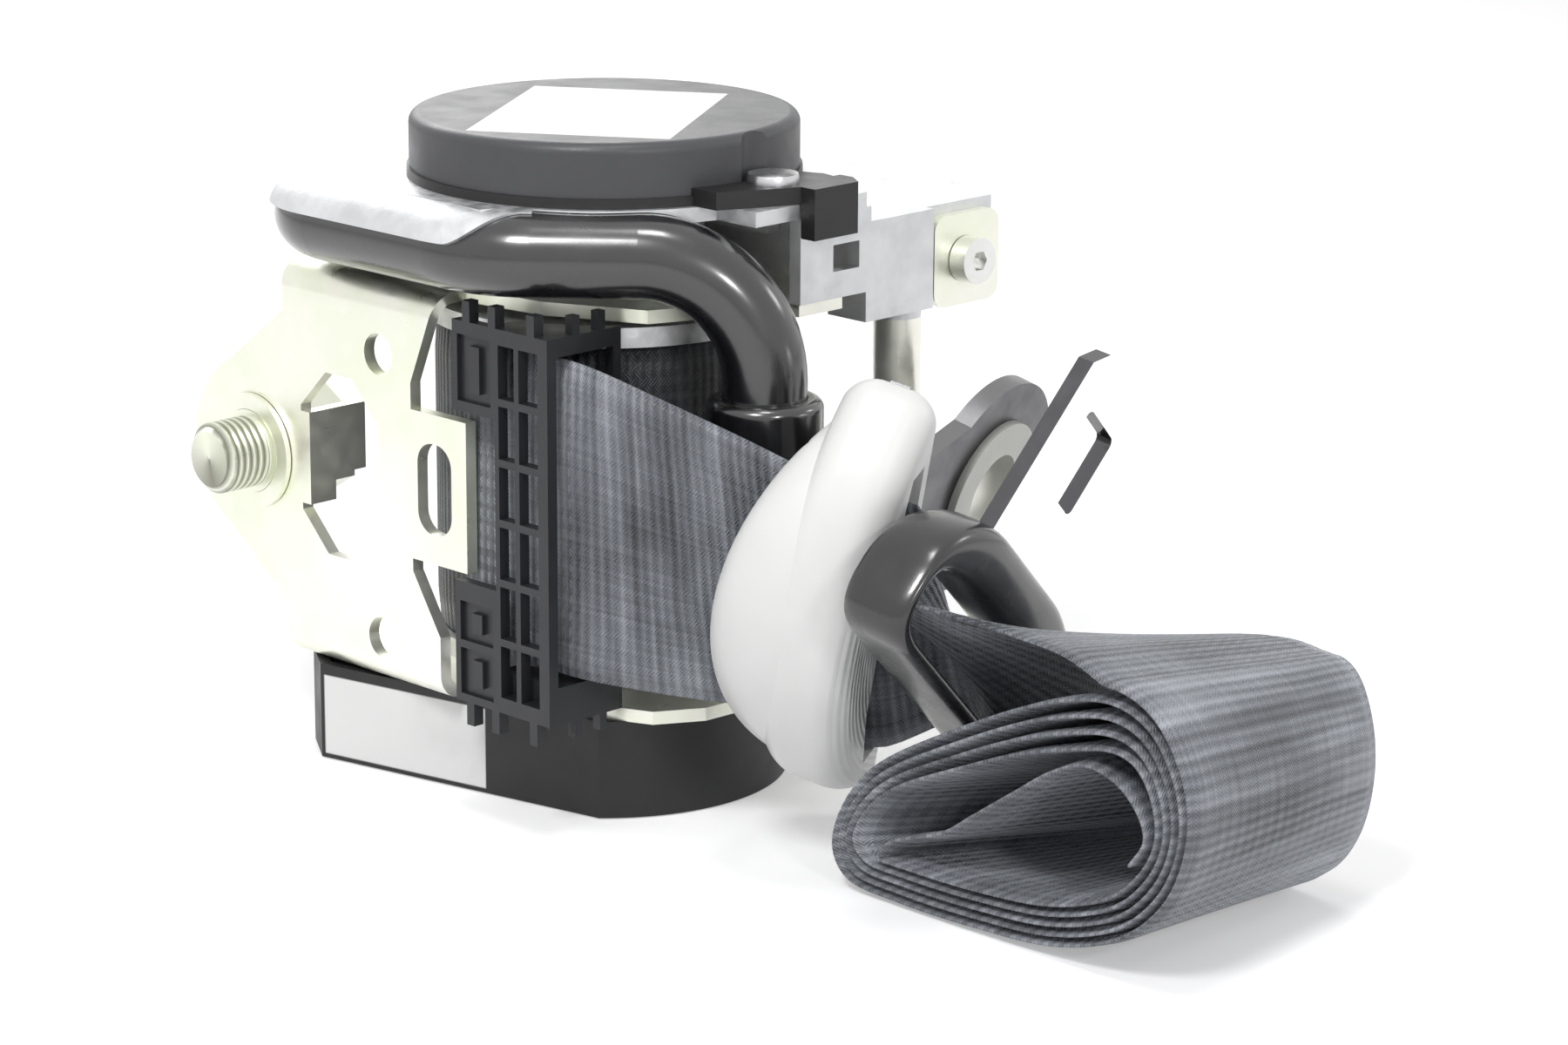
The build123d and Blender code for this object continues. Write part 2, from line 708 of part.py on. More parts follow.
def make_mounting_bolt():
    inside = back_x + sheet
    axis = Pos(0, ear_y, ear_z) * Rot(0, 90, 0)

    def along(radius, x0, x1):
        return axis * Pos(0, 0, (x0 + x1) / 2) * Cylinder(radius, x1 - x0)

    thread = along(bolt_radius, bolt_end_x, inside + 1)
    thread = chamfer(thread.edges().group_by(Axis.X)[0], bolt_chamfer)
    thread += along(bolt_hole_radius - seat_clearance, back_x - retainer_gap - retainer - 0.15, inside + 1)
    flange = along(bolt_flange_radius, inside + 0.05, inside + bolt_flange)
    flange = fillet(flange.edges().group_by(Axis.X)[-1], 1.0)
    head = axis * Pos(0, 0, inside + bolt_flange) * extrude(RegularPolygon(bolt_head_flats / 2, 6, major_radius=False), bolt_head)
    return thread + flange + head


def make_bolt_retainer():
    axis = Pos(0, ear_y, ear_z) * Rot(0, 90, 0)
    washer = Cylinder(retainer_radius, retainer) - Cylinder(bolt_hole_radius - seat_clearance + shaft_clearance, 10)
    return axis * Pos(0, 0, back_x - retainer_gap - retainer / 2) * washer


def make_webbing_guide():
    x0, x1 = guide_x
    low = flange_low_top + 0.3
    high = flange_high - 0.3
    y0 = guide_mouth_y
    guide = block(x0, x1, y0, -9, low, high)
    guide += block(x0, back_x - 0.2, y0, -1.5, low, high)
    mouth_z = (web_low_z - 1.2, web_high_z + 1.2)
    guide -= block(x0 + guide_wall, x1 - 1.5, y0 - 1, 5, *mouth_z)
    guide -= tube(wound_radius + 1.9, 0, 100)
    guide -= block(x0 - 1, x0 + guide_wall + 1, -10.6, 0, lug_z[0] - 0.4, lug_z[1] + 2.4)
    row_low = (low + high - (guide_rows - 1) * guide_pitch - guide_window_height) / 2
    for i in range(guide_rows):
        z = row_low + i * guide_pitch
        for y_low, y_high in guide_columns_y:
            guide -= block(x0 - 1, x0 + guide_wall + 0.5, y_low, y_high, z, z + guide_window_height)
    for z0, z1 in ((lug_z[1] + 4.0, high - 2.0), (low + 9.5, lug_z[0] - 3.4), (low + 1.2, low + 8.3)):
        guide -= block(x0 - 1, x0 + 0.7, -9.8, -2.6, z0, z1)
        guide += block(x0, x0 + 1.2, -7.4, -5.2, z0 + 1.5, z1 - 1.5)
    for y in (-4.6, -10.2, -18.5):
        guide += block(x0, x0 + 1.8, y - 0.8, y + 0.8, high, frame_top + 0.8)
        guide += block(x0, x0 + 1.8, y - 0.8, y + 0.8, cover_height - 1.2, low)
    for x in (-27.0, -22.0):
        guide += block(x, x + 1.4, y0, y0 + 1.5, high, frame_top + 0.5)
        guide += block(x, x + 1.4, y0, y0 + 1.5, low - 2.5, low)
    return guide


loop_across = loop_normal.cross(loop_eye_dir)
loop_plane = Plane(origin=loop_centre, x_dir=loop_eye_dir, z_dir=loop_normal)
loop_eye_place = Pos(loop_bend_distance, 0, 0) * Rot(0, -loop_bend, 0)
tongue_normal = tongue_across.cross(tongue_blade_dir)
tongue_plane = Plane(origin=tongue_root, x_dir=tongue_across, z_dir=tongue_normal)


def loop_plate_solid():
    """Flat plate round the slot and, past a bend, the eye that takes the bolt."""
    h = loop_half_length - 4
    n = loop_neck / 2
    bend = loop_bend_distance
    d = loop_eye_distance - bend
    lap = loop_plate / 2 * tan(radians(loop_bend / 2))
    rim = ThreePointArc((8, -h), (2.6 - loop_bulge, 0), (8, h))
    sides = Polyline((8, h), (bend, n + 4), (bend + lap, n + 4), (bend + lap, -n - 4), (bend, -n - 4), (8, -h))
    neck = outline([(-lap, n + 4), (6, n), (d, n), (d, -n), (6, -n), (-lap, -n - 4)])
    flat = Pos(0, 0, -loop_plate / 2) * extrude(make_face([rim, sides]), loop_plate)
    eye = Pos(0, 0, -loop_plate / 2) * extrude(neck + Pos(d, 0) * Circle(loop_eye_radius), loop_plate)
    return flat + loop_eye_place * eye


def through(face):
    """Cutter right through the loop or the tongue, over a face in its own plane."""
    return Pos(0, 0, -30) * extrude(face, 60)


def loop_slot_face(extra):
    """Slot that follows the loop's round side, so that metal is left all round it."""
    h = loop_slot_length / 2 + extra
    w = loop_slot_width / 2 + extra
    return outline([(-w, -h + 10), (-w, h - 10), (-0.9 - extra, h), (w, h), (w, -h), (-0.9 - extra, -h)])


def make_loop_plate():
    plate = loop_plate_solid() - through(loop_slot_face(loop_slot_lining))
    plate -= loop_eye_place * through(Pos(loop_eye_distance - loop_bend_distance, 0) * Circle(loop_bush_radius - 3))
    return loop_plane * plate


def loop_rim_solid():
    """Thick rounded rim that the webbing slides over, thinner towards its ends."""
    radial, deep = loop_rim
    centre = loop_rim_radius - loop_bulge + radial
    sections = []
    for turn in range(-loop_rim_turn, loop_rim_turn + 1, 20):
        share = (turn / loop_rim_turn) ** 2
        c, t = cos(radians(turn)), sin(radians(turn))
        place = Vector(centre - loop_rim_radius * c, loop_rim_radius * t, -loop_rim_side * (1 - share))
        section = Plane(origin=place, x_dir=(-c, t, 0), z_dir=(t, c, 0))
        size = 1 - share / 2
        sections.append(section * Ellipse(radial * size, deep * size))
    return loft(sections)


def make_loop_cover():
    h = loop_half_length
    arc = ThreePointArc((9.5, -h), (-loop_bulge, 0), (9.5, h))
    face = make_face([arc, Line((9.5, h), (9.5, -h))])
    face = fillet(face.vertices(), 5.0)
    body = Pos(0, 0, -loop_thickness / 2) * extrude(face, loop_thickness)
    body = fillet(body.edges().group_by(Axis.Z)[0] + body.edges().group_by(Axis.Z)[-1], loop_round)
    body += loop_rim_solid()
    body -= loop_plate_solid() - through(loop_slot_face(loop_slot_lining))
    return loop_plane * (body - through(loop_slot_face(0)))


def make_loop_bush():
    t = loop_plate
    r = loop_bush_radius
    bush = Cylinder(r - 3 - 0.05, t + 0.2)
    bush += Pos(0, 0, t / 2 + loop_bush_flange / 2 + 0.05) * Cylinder(r, loop_bush_flange)
    bush += Pos(0, 0, -t / 2 - loop_bush_flange / 2 - 0.05) * Cylinder(r, loop_bush_flange)
    bush -= Cylinder(loop_bolt_radius, 20)
    return loop_plane * loop_eye_place * Pos(loop_eye_distance - loop_bend_distance, 0, 0) * bush


def make_tongue_plate():
    w = blade_width / 2
    blade = outline([(-w, -8), (-w, blade_length - 3), (-w + 3, blade_length), (w - 3, blade_length), (w, blade_length - 3), (w, -8)])
    a, b = blade_hole
    blade -= Pos(0, blade_length - 14) * RectangleRounded(a, b, 1.2)
    return tongue_plane * Pos(0, 0, -blade_thickness / 2) * extrude(blade, blade_thickness)


def make_tongue_grip():
    h = grip_half_length
    face = outline([(-h, -grip_height), (-h, -8), (-h + 10, 0), (h - 10, 0), (h, -8), (h, -grip_height)])
    face = fillet(face.vertices(), 3.5)
    body = Pos(0, 0, -grip_thickness / 2) * extrude(face, grip_thickness)
    slot = Pos(0, grip_slot_width / 2 + grip_rim - grip_height) * RectangleRounded(grip_slot_length, grip_slot_width, 2.0)
    body -= through(slot)
    pocket = Pos(0, 0, -blade_thickness / 2 - 0.05) * extrude(Pos(0, 0) * Rectangle(blade_width + 0.1, 16.1), blade_thickness + 0.1)
    return tongue_plane * (body - pocket)


roll_outer = [(-63.0, 6.0), (-71.5, 19.0), (-88.0, 29.5), (-104.0, 38.0), (-114.0, 41.5), (-123.0, 39.0), (-128.6, 31.0),
              (-129.6, 22.0), (-126.0, 12.5), (-118.0, 5.2), (-106.0, 1.2), (-92.0, 0.3), (-76.0, 0.3), (-66.5, 1.3)]
roll_inner = [(-69.5, 7.0), (-85.0, 17.5), (-105.0, 25.5), (-118.5, 31.5), (-122.6, 24.5), (-116.5, 13.5), (-104.0, 7.6),
              (-88.0, 5.8), (-73.0, 5.0)]


def roll_loft(points):
    """The roll slips sideways along its axis, so its far end is shorter than its near end."""
    far_end = [(roll_far_y + (y - roll_near_y) * roll_far_share, z * roll_far_height) for y, z in points]
    near_face = Plane.YZ.offset(roll_x[0]) * make_face(Spline(*points, periodic=True))
    far_face = Plane.YZ.offset(roll_x[1]) * make_face(Spline(*far_end, periodic=True))
    return loft([near_face, far_face], ruled=True)


def make_webbing_roll():
    return roll_loft(roll_outer) - roll_loft(roll_inner)


def webbing_through(stations):
    """Webbing through stations of (centre, direction across its width), built from flat triangles."""
    last = len(stations) - 1
    half = webbing_width / 2
    grid = [[centre + across.normalized() * half * side for side in (-1, 0, 1)] for centre, across in stations]
    skins = ([], [])
    for i, (centre, across) in enumerate(stations):
        for j in range(3):
            normal = Vector(0, 0, 0)
            if i > 0:
                normal += across.cross(grid[i][j] - grid[i - 1][j]).normalized()
            if i < last:
                normal += across.cross(grid[i + 1][j] - grid[i][j]).normalized()
            lift = normal.normalized() * (webbing_thickness / 2)
            skins[0].append(grid[i][j] - lift)
            skins[1].append(grid[i][j] + lift)
    under, over = skins
    corners = []
    for i in range(last):
        a = 3 * i
        for j in (a, a + 1):
            corners.append((over[j], over[j + 1], over[j + 4], over[j + 3]))
            corners.append((under[j], under[j + 3], under[j + 4], under[j + 1]))
        corners.append((over[a], over[a + 3], under[a + 3], under[a]))
        corners.append((over[a + 2], under[a + 2], under[a + 5], over[a + 5]))
    for a in (0, 3 * last):
        for j in (a, a + 1):
            corners.append((over[j], under[j], under[j + 1], over[j + 1]))
    faces = []
    for p, q, r, t in corners:
        faces.append(make_face(Polyline(p, q, r, close=True)))
        faces.append(make_face(Polyline(p, r, t, close=True)))
    return Solid(Shell(faces))


def between(a, b, count):
    """Stations from a up to, but not with, b."""
    steps = []
    for i in range(count):
        t = i / count
        steps.append((a[0] * (1 - t) + b[0] * t, a[1] * (1 - t) + b[1] * t))
    return steps


run_x = -wound_radius - webbing_clearance - webbing_thickness / 2
down = Vector(0, 0, -1)
at_spool = (Vector(run_x, -2, web_mid_z), down)
at_mouth = (Vector(run_x, guide_mouth_y - 2, web_mid_z), down)
loop_way = loop_normal * run_straight
in_loop = loop_centre + loop_eye_dir * run_side
before_loop = (in_loop - loop_way, loop_across * -1)
after_loop = (in_loop + loop_way + loop_normal * run_over, loop_across * -1)
slot_y = grip_slot_width / 2 + grip_rim - grip_height
tongue_slot = tongue_root + tongue_blade_dir * slot_y
tongue_way = tongue_normal * (grip_thickness / 2 + 1)
before_tongue = (tongue_slot - tongue_way, tongue_across)
after_tongue = (tongue_slot + tongue_way, tongue_across)
at_roll = (Vector(*run_landing), Vector(1, 0, run_tilt))
past_roll = (Vector(*run_landing) + Vector(0, -1, 0), Vector(1, 0, run_tilt))


def make_webbing_run():
    """Loose webbing from the spool through the guide, the loop and the tongue, on to the roll."""
    stations = [at_spool] + between(at_mouth, before_loop, 4) + [before_loop, after_loop, before_tongue]
    stations += between(after_tongue, at_roll, 5) + [at_roll, past_roll]
    return webbing_through(stations)


nodes = {
    "mechanism_cover": make_mechanism_cover(),
    "cover_screws": make_cover_screws(),
    "frame": make_frame(),
    "lower_bush": make_bush(flange_low, flange_low_top, flange_low_top, flange_low_top + bush_collar),
    "upper_bush": make_bush(flange_high, frame_top, flange_high - bush_collar, flange_high),
    "spool": make_spool(),
    "torsion_bar": make_torsion_bar(),
    "wound_webbing": make_wound_webbing(),
    "locking_wheel": make_locking_wheel(),
    "inertia_disc": make_inertia_disc(),
    "lock_pawl": make_lock_pawl(),
    "pawl_pin": make_pawl_pin(),
    "pawl_spring": make_pawl_spring(),
    "sensor_housing": make_sensor_housing(),
    "sensor_ball": make_sensor_ball(),
    "sensor_lever": make_sensor_lever(),
    "tie_rod": make_tie_rod(),
    "pretensioner_tube": make_pretensioner_tube(),
    "drive_balls": make_drive_balls(),
    "generator_holder": make_generator_holder(),
    "gas_generator": make_gas_generator(),
    "drive_pinion": make_pinion(),
    "pretensioner_housing": make_pretensioner_housing(),
    "housing_screws": make_housing_screws(),
    "end_bracket": make_end_bracket(),
    "socket_screw": make_socket_screw(),
    "spring_base": make_spring_base(),
    "cover_rivet": make_cover_rivet(),
    "spring_cover": make_spring_cover(),
    "spring_arbor": make_spring_arbor(),
    "power_spring": make_power_spring(),
    "mounting_bolt": make_mounting_bolt(),
    "bolt_retainer": make_bolt_retainer(),
    "webbing_guide": make_webbing_guide(),
    "loop_plate": make_loop_plate(),
    "loop_cover": make_loop_cover(),
    "loop_bush": make_loop_bush(),
    "tongue_plate": make_tongue_plate(),
    "tongue_grip": make_tongue_grip(),
    "webbing_run": make_webbing_run(),
    "webbing_roll": make_webbing_roll(),
}

for name, shape in nodes.items():
    export_step(shape, f"parts/{name}.step")
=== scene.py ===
import math

import bmesh
import bpy
import numpy as np
from mathutils import Matrix, Vector


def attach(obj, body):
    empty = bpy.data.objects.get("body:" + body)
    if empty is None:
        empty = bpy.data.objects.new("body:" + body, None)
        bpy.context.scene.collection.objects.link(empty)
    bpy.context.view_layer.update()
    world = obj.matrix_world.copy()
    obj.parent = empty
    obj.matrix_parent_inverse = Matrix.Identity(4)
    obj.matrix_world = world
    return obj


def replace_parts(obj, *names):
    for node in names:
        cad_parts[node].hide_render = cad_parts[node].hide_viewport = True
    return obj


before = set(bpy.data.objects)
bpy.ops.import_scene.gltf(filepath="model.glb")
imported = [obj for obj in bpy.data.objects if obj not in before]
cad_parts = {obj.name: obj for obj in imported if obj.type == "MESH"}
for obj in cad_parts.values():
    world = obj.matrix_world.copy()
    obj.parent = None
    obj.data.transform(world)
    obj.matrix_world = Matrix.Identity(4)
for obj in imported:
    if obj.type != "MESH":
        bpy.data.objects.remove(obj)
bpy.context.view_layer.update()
MM = 0.001

# Places and sizes are in millimetres unless a comment says metres. Angles are in degrees.


def add_object(name, data):
    obj = bpy.data.objects.new(name, data)
    bpy.context.scene.collection.objects.link(obj)
    return obj


# Camera

# The photograph's camera: where it stands, and how far it is turned from Y, tipped down and rolled.
CAMERA_AT = (-455.6, -488.5, 219.0)
CAMERA_YAW = 45.33
CAMERA_DOWN = 15.15
CAMERA_ROLL = 0.35
CAMERA_LENS = 104.0
SENSOR_WIDTH = 36.0


def make_camera():
    yaw = math.radians(CAMERA_YAW)
    down = math.radians(CAMERA_DOWN)
    roll = math.radians(CAMERA_ROLL)
    ahead = Vector((math.sin(yaw) * math.cos(down), math.cos(yaw) * math.cos(down), -math.sin(down)))
    level = Vector((math.cos(yaw), -math.sin(yaw), 0))
    upright = level.cross(ahead)
    right = level * math.cos(roll) + upright * math.sin(roll)
    up = upright * math.cos(roll) - level * math.sin(roll)
    cam = bpy.data.cameras.new("camera")
    cam.lens = CAMERA_LENS
    cam.sensor_width = SENSOR_WIDTH
    cam.clip_start = 0.01
    obj = add_object("camera", cam)
    turn = Matrix((right, up, -ahead)).transposed().to_4x4()
    obj.matrix_world = Matrix.Translation(Vector(CAMERA_AT) * MM) @ turn
    bpy.context.scene.camera = obj


make_camera()
bpy.context.scene.view_settings.view_transform = "Standard"


# Where the loop and the tongue are

def unit(v):
    v = np.array(v, float)
    return v / np.linalg.norm(v)


# The middle of the loop's slot, and the directions to its eye, out of its face and along its slot.
LOOP_AT = np.array((-8.6, -59.0, 39.0))
LOOP_EYE = unit((0.903, 0.326, 0.285))
LOOP_NORMAL = unit((0.3988, -0.8844, -0.2519))
LOOP_ACROSS = unit(np.cross(LOOP_NORMAL, LOOP_EYE))

# Where the tongue's blade leaves its grip, the directions across it, to its tip and out of its face, and how
# far back the middle of the webbing's slot lies.
TONGUE_AT = np.array((4.2, -79.2, 47.3))
TONGUE_ACROSS = unit((0.743, 0.209, -0.639))
TONGUE_BLADE = unit((0.660, -0.060, 0.748))
TONGUE_NORMAL = unit(np.cross(TONGUE_ACROSS, TONGUE_BLADE))
TONGUE_SLOT_BACK = 17.6
TONGUE_SLOT = TONGUE_AT - TONGUE_BLADE * TONGUE_SLOT_BACK


# Materials

X_WAY, Y_WAY, Z_WAY = (1, 0, 0), (0, 1, 0), (0, 0, 1)
ORIGIN = (0, 0, 0)


class Paint:
    """A node material with a few shorthands. Noise scales are per metre, and bump depths in metres."""

    def __init__(self, name, base, rough, metal=0.0):
        self.mat = bpy.data.materials.new(name)
        self.mat.use_nodes = True
        self.tree = self.mat.node_tree
        self.shader = self.tree.nodes["Principled BSDF"]
        self.set("Base Color", (*base, 1))
        self.set("Roughness", rough)
        self.set("Metallic", metal)
        self.height = None

    def set(self, socket, value):
        self.shader.inputs[socket].default_value = value

    def node(self, kind, **values):
        """A new node with the values on its own settings or on its input sockets."""
        n = self.tree.nodes.new(kind)
        for key, value in values.items():
            if hasattr(n, key):
                setattr(n, key, value)
            else:
                n.inputs[key.replace("_", " ")].default_value = value
        return n

    def link(self, a, b):
        self.tree.links.new(a, b)

    def noise(self, scale, detail):
        n = self.node("ShaderNodeTexNoise", Scale=scale, Detail=detail)
        self.link(self.node("ShaderNodeTexCoord").outputs["Object"], n.inputs["Vector"])
        return n.outputs["Fac"]

    def ramp(self, source, stops):
        r = self.node("ShaderNodeValToRGB")
        ends = r.color_ramp.elements
        while len(ends) < len(stops):
            ends.new(0.5)
        for end, (at, colour) in zip(ends, stops):
            end.position = at
            end.color = (*colour, 1)
        self.link(source, r.inputs["Fac"])
        return r.outputs["Color"]

    def span(self, source, low, high, start=0.3, end=0.7):
        """Low where the source is at start, high where it is at end, and in step between them."""
        m = self.node("ShaderNodeMapRange", From_Min=start, From_Max=end, To_Min=low, To_Max=high)
        self.link(source, m.inputs["Value"])
        return m.outputs["Result"]

    def math(self, operation, a, b=0.0):
        m = self.node("ShaderNodeMath", operation=operation)
        for socket, value in zip(m.inputs, (a, b)):
            if hasattr(value, "links"):
                self.link(value, socket)
            else:
                socket.default_value = value
        return m.outputs[0]

    def mix(self, share, under, over):
        """The colour that is under, with the share of another colour over it."""
        m = self.node("ShaderNodeMix", data_type="RGBA")
        factor, first, second = m.inputs[0], m.inputs[6], m.inputs[7]
        self.link(share, factor)
        self.link(under, first)
        second.default_value = (*over, 1)
        return m.outputs[2]

    def colour(self, source):
        self.link(source, self.shader.inputs["Base Color"])

    def rough(self, source):
        self.link(source, self.shader.inputs["Roughness"])

    def bump(self, source, depth, strength=1.0):
        b = self.node("ShaderNodeBump", Strength=strength, Distance=depth)
        self.link(source, b.inputs["Height"])
        if self.height is not None:
            self.link(self.height, b.inputs["Normal"])
        self.height = b.outputs["Normal"]
        self.link(self.height, self.shader.inputs["Normal"])

    def along(self, direction, start=ORIGIN):
        """Distance along a direction from a point."""
        away = self.node("ShaderNodeVectorMath", operation="SUBTRACT")
        self.link(self.node("ShaderNodeTexCoord").outputs["Object"], away.inputs[0])
        away.inputs[1].default_value = tuple(v * MM for v in start)
        return self.dot(away.outputs[0], tuple(v / MM for v in direction))

    def facing(self, direction):
        """1 where the surface looks along the direction or against it, 0 where it stands beside it."""
        return self.math("ABSOLUTE", self.dot(self.node("ShaderNodeTexCoord").outputs["Normal"], direction))

    def dot(self, source, direction):
        d = self.node("ShaderNodeVectorMath", operation="DOT_PRODUCT")
        self.link(source, d.inputs[0])
        d.inputs[1].default_value = tuple(direction)
        return d.outputs["Value"]

    def box(self, *limits, soft):
        """1 inside all of the given (value, low, high) limits, 0 outside, with a soft edge."""
        inside = None
        for value, low, high in limits:
            rise = self.span(value, 0, 1, low - soft, low + soft)
            fall = self.span(value, 1, 0, high - soft, high + soft)
            both = self.math("MULTIPLY", rise, fall)
            inside = both if inside is None else self.math("MULTIPLY", inside, both)
        return inside


def dark_and_light(base, spread):
    return tuple(c * (1 - spread) for c in base), tuple(min(1, c * (1 + spread)) for c in base)


def plastic(name, base, rough, grain=0.00002, spread=0.1, coat=0.0):
    p = Paint(name, base, rough)
    dark, light = dark_and_light(base, spread)
    p.tone = p.ramp(p.noise(60, 5), [(0.3, dark), (0.7, light)])
    p.colour(p.tone)
    p.rough(p.span(p.noise(190, 4), rough - 0.05, rough + 0.07))
    p.bump(p.noise(2600, 2), grain)
    p.bump(p.noise(45, 3), 0.00008, 0.4)
    p.set("Coat Weight", coat)
    return p


def metal(name, base, rough, spread):
    p = Paint(name, base, rough, 1.0)
    dark, light = dark_and_light(base, spread)
    p.tone = p.ramp(p.noise(70, 6), [(0.32, dark), (0.68, light)])
    p.colour(p.tone)
    p.rough(p.span(p.noise(240, 5), rough - 0.08, rough + 0.12))
    p.bump(p.noise(1400, 3), 0.00001)
    return p


black_cover = plastic("black_cover", (0.008, 0.008, 0.009), 0.4)
guide_plastic = plastic("guide_plastic", (0.02, 0.021, 0.024), 0.36)
pale_bush = plastic("pale_bush", (0.74, 0.74, 0.69), 0.4, spread=0.05)
zinc = metal("zinc", (0.8, 0.8, 0.78), 0.3, 0.1)
steel = metal("steel", (0.62, 0.62, 0.63), 0.28, 0.1)

LABEL_COLOUR = (0.86, 0.86, 0.855)
LABEL_SOFT = 0.12
LABEL_RISE = 0.08

# The cap's label: its middle, its long and short ways, and half its length and width.
CAP_LABEL_AT = (-2.2, -1.4, 102.0)
CAP_LABEL_LONG = (0.837, 0.547, 0)
CAP_LABEL_SHORT = (-0.547, 0.837, 0)
CAP_LABEL_HALF = (19.8, 15.2)
CAP_LABEL_Z = (101.9, 103.0)

# The lower cover's label, between these limits.
BASE_LABEL_X = (-40.0, -23.0)
BASE_LABEL_Y = (1.2, 31.6)
BASE_LABEL_Z = (0.7, 13.3)


def add_label(p, *limits):
    """A bare pale label inside the limits, standing a little proud."""
    mask = p.box(*limits, soft=LABEL_SOFT)
    p.colour(p.mix(mask, p.tone, LABEL_COLOUR))
    p.bump(mask, LABEL_RISE * MM)


def make_spring_cap():
    """Dark textured cap with a bare white label on its flat top."""
    p = plastic("spring_cap", (0.062, 0.063, 0.067), 0.42, grain=0.00003)
    a = p.along(CAP_LABEL_LONG, CAP_LABEL_AT)
    b = p.along(CAP_LABEL_SHORT, CAP_LABEL_AT)
    length, width = CAP_LABEL_HALF
    add_label(p, (a, -length, length), (b, -width, width), (p.along(Z_WAY), *CAP_LABEL_Z))
    return p


def make_base_cap():
    """Matte black lower cover with a bare white label on its slanted side."""
    p = plastic("base_cap", (0.007, 0.007, 0.008), 0.45)
    x, y, z = p.along(X_WAY), p.along(Y_WAY), p.along(Z_WAY)
    add_label(p, (y, *BASE_LABEL_Y), (z, *BASE_LABEL_Z), (x, *BASE_LABEL_X))
    return p


spring_cap = make_spring_cap()
base_cap = make_base_cap()


def passivated(name):
    """Zinc plating with a faint patchy green and yellow cast."""
    p = Paint(name, (0.92, 0.92, 0.82), 0.34, 0.85)
    white, cream = (0.93, 0.93, 0.89), (0.92, 0.92, 0.82)
    green, warm = (0.87, 0.9, 0.74), (0.93, 0.92, 0.87)
    p.tone = p.ramp(p.noise(26, 5), [(0.3, white), (0.47, cream), (0.56, green), (0.68, warm)])
    p.colour(p.tone)
    p.rough(p.span(p.noise(300, 4), 0.26, 0.44))
    p.bump(p.noise(900, 3), 0.000012)
    return p


yellow_zinc = passivated("yellow_zinc")

# The anchor bolt lies along X. Its thread starts between these two places and runs out to the tip.
BOLT_Y = 47.5
BOLT_Z = 46.25
THREAD_START = (-31.5, -31.2)
THREAD_PITCH = 1.27
THREAD_DEPTH = 1.1


def make_bolt_zinc():
    """Plated bolt whose thread winds along X past the back plate, with painted shade darkening its thread's
    grooves.
    """
    p = passivated("bolt_zinc")
    x = p.along(X_WAY)
    y = p.along(Y_WAY, (0, BOLT_Y, 0))
    z = p.along(Z_WAY, (0, 0, BOLT_Z))
    turn = p.math("DIVIDE", p.math("ARCTAN2", z, y), 2 * math.pi)
    # The whole turns that are added keep the count of turns above zero.
    turns = p.math("ADD", p.math("DIVIDE", x, THREAD_PITCH), p.math("ADD", turn, 40))
    wave = p.math("PINGPONG", turns, 0.5)
    on_thread = p.span(x, 1, 0, *THREAD_START)
    groove = p.math("MULTIPLY", p.math("SUBTRACT", 0.5, wave), on_thread)
    # The grooves' colour is pulled towards a dark olive: painted shade in the thread's roots.
    p.colour(p.mix(p.math("MULTIPLY", groove, 1.7), p.tone, (0.16, 0.16, 0.12)))
    p.bump(p.math("MULTIPLY", groove, -1.0), THREAD_DEPTH * MM)
    return p


bolt_zinc = make_bolt_zinc()


def make_cast_alloy():
    """Dull cast metal with a fine uneven skin."""
    p = Paint("cast_alloy", (0.6, 0.605, 0.62), 0.42, 0.9)
    p.colour(p.ramp(p.noise(120, 8), [(0.3, (0.6, 0.605, 0.615)), (0.7, (0.76, 0.765, 0.775))]))
    p.rough(p.span(p.noise(500, 6), 0.34, 0.56))
    p.bump(p.noise(900, 6), 0.00006)
    p.bump(p.noise(90, 3), 0.0002, 0.4)
    return p


cast_alloy = make_cast_alloy()


def make_black_tube():
    """Glossy black lacquer on steel."""
    p = Paint("black_tube", (0.006, 0.006, 0.007), 0.16)
    p.colour(p.ramp(p.noise(40, 4), [(0.35, (0.004, 0.004, 0.005)), (0.7, (0.01, 0.01, 0.012))]))
    p.rough(p.span(p.noise(160, 5), 0.2, 0.3))
    p.bump(p.noise(500, 3), 0.000008)
    p.set("Coat Weight", 0.8)
    p.set("Coat Roughness", 0.14)
    p.set("Specular IOR Level", 0.8)
    return p


black_tube = make_black_tube()

# The ridges on the loop's cover: how far their centre lies from the slot towards the eye, half their pitch,
# their depth, and their limits out of the cover's face, from that centre and along the slot.
RIDGE_CENTRE = 23
RIDGE_HALF_PITCH = 0.55
RIDGE_DEPTH = 0.4
RIDGE_OUT = (-3, 12)
RIDGE_RADIUS = (28, 38)
RIDGE_ALONG_SLOT = (-33, 8)


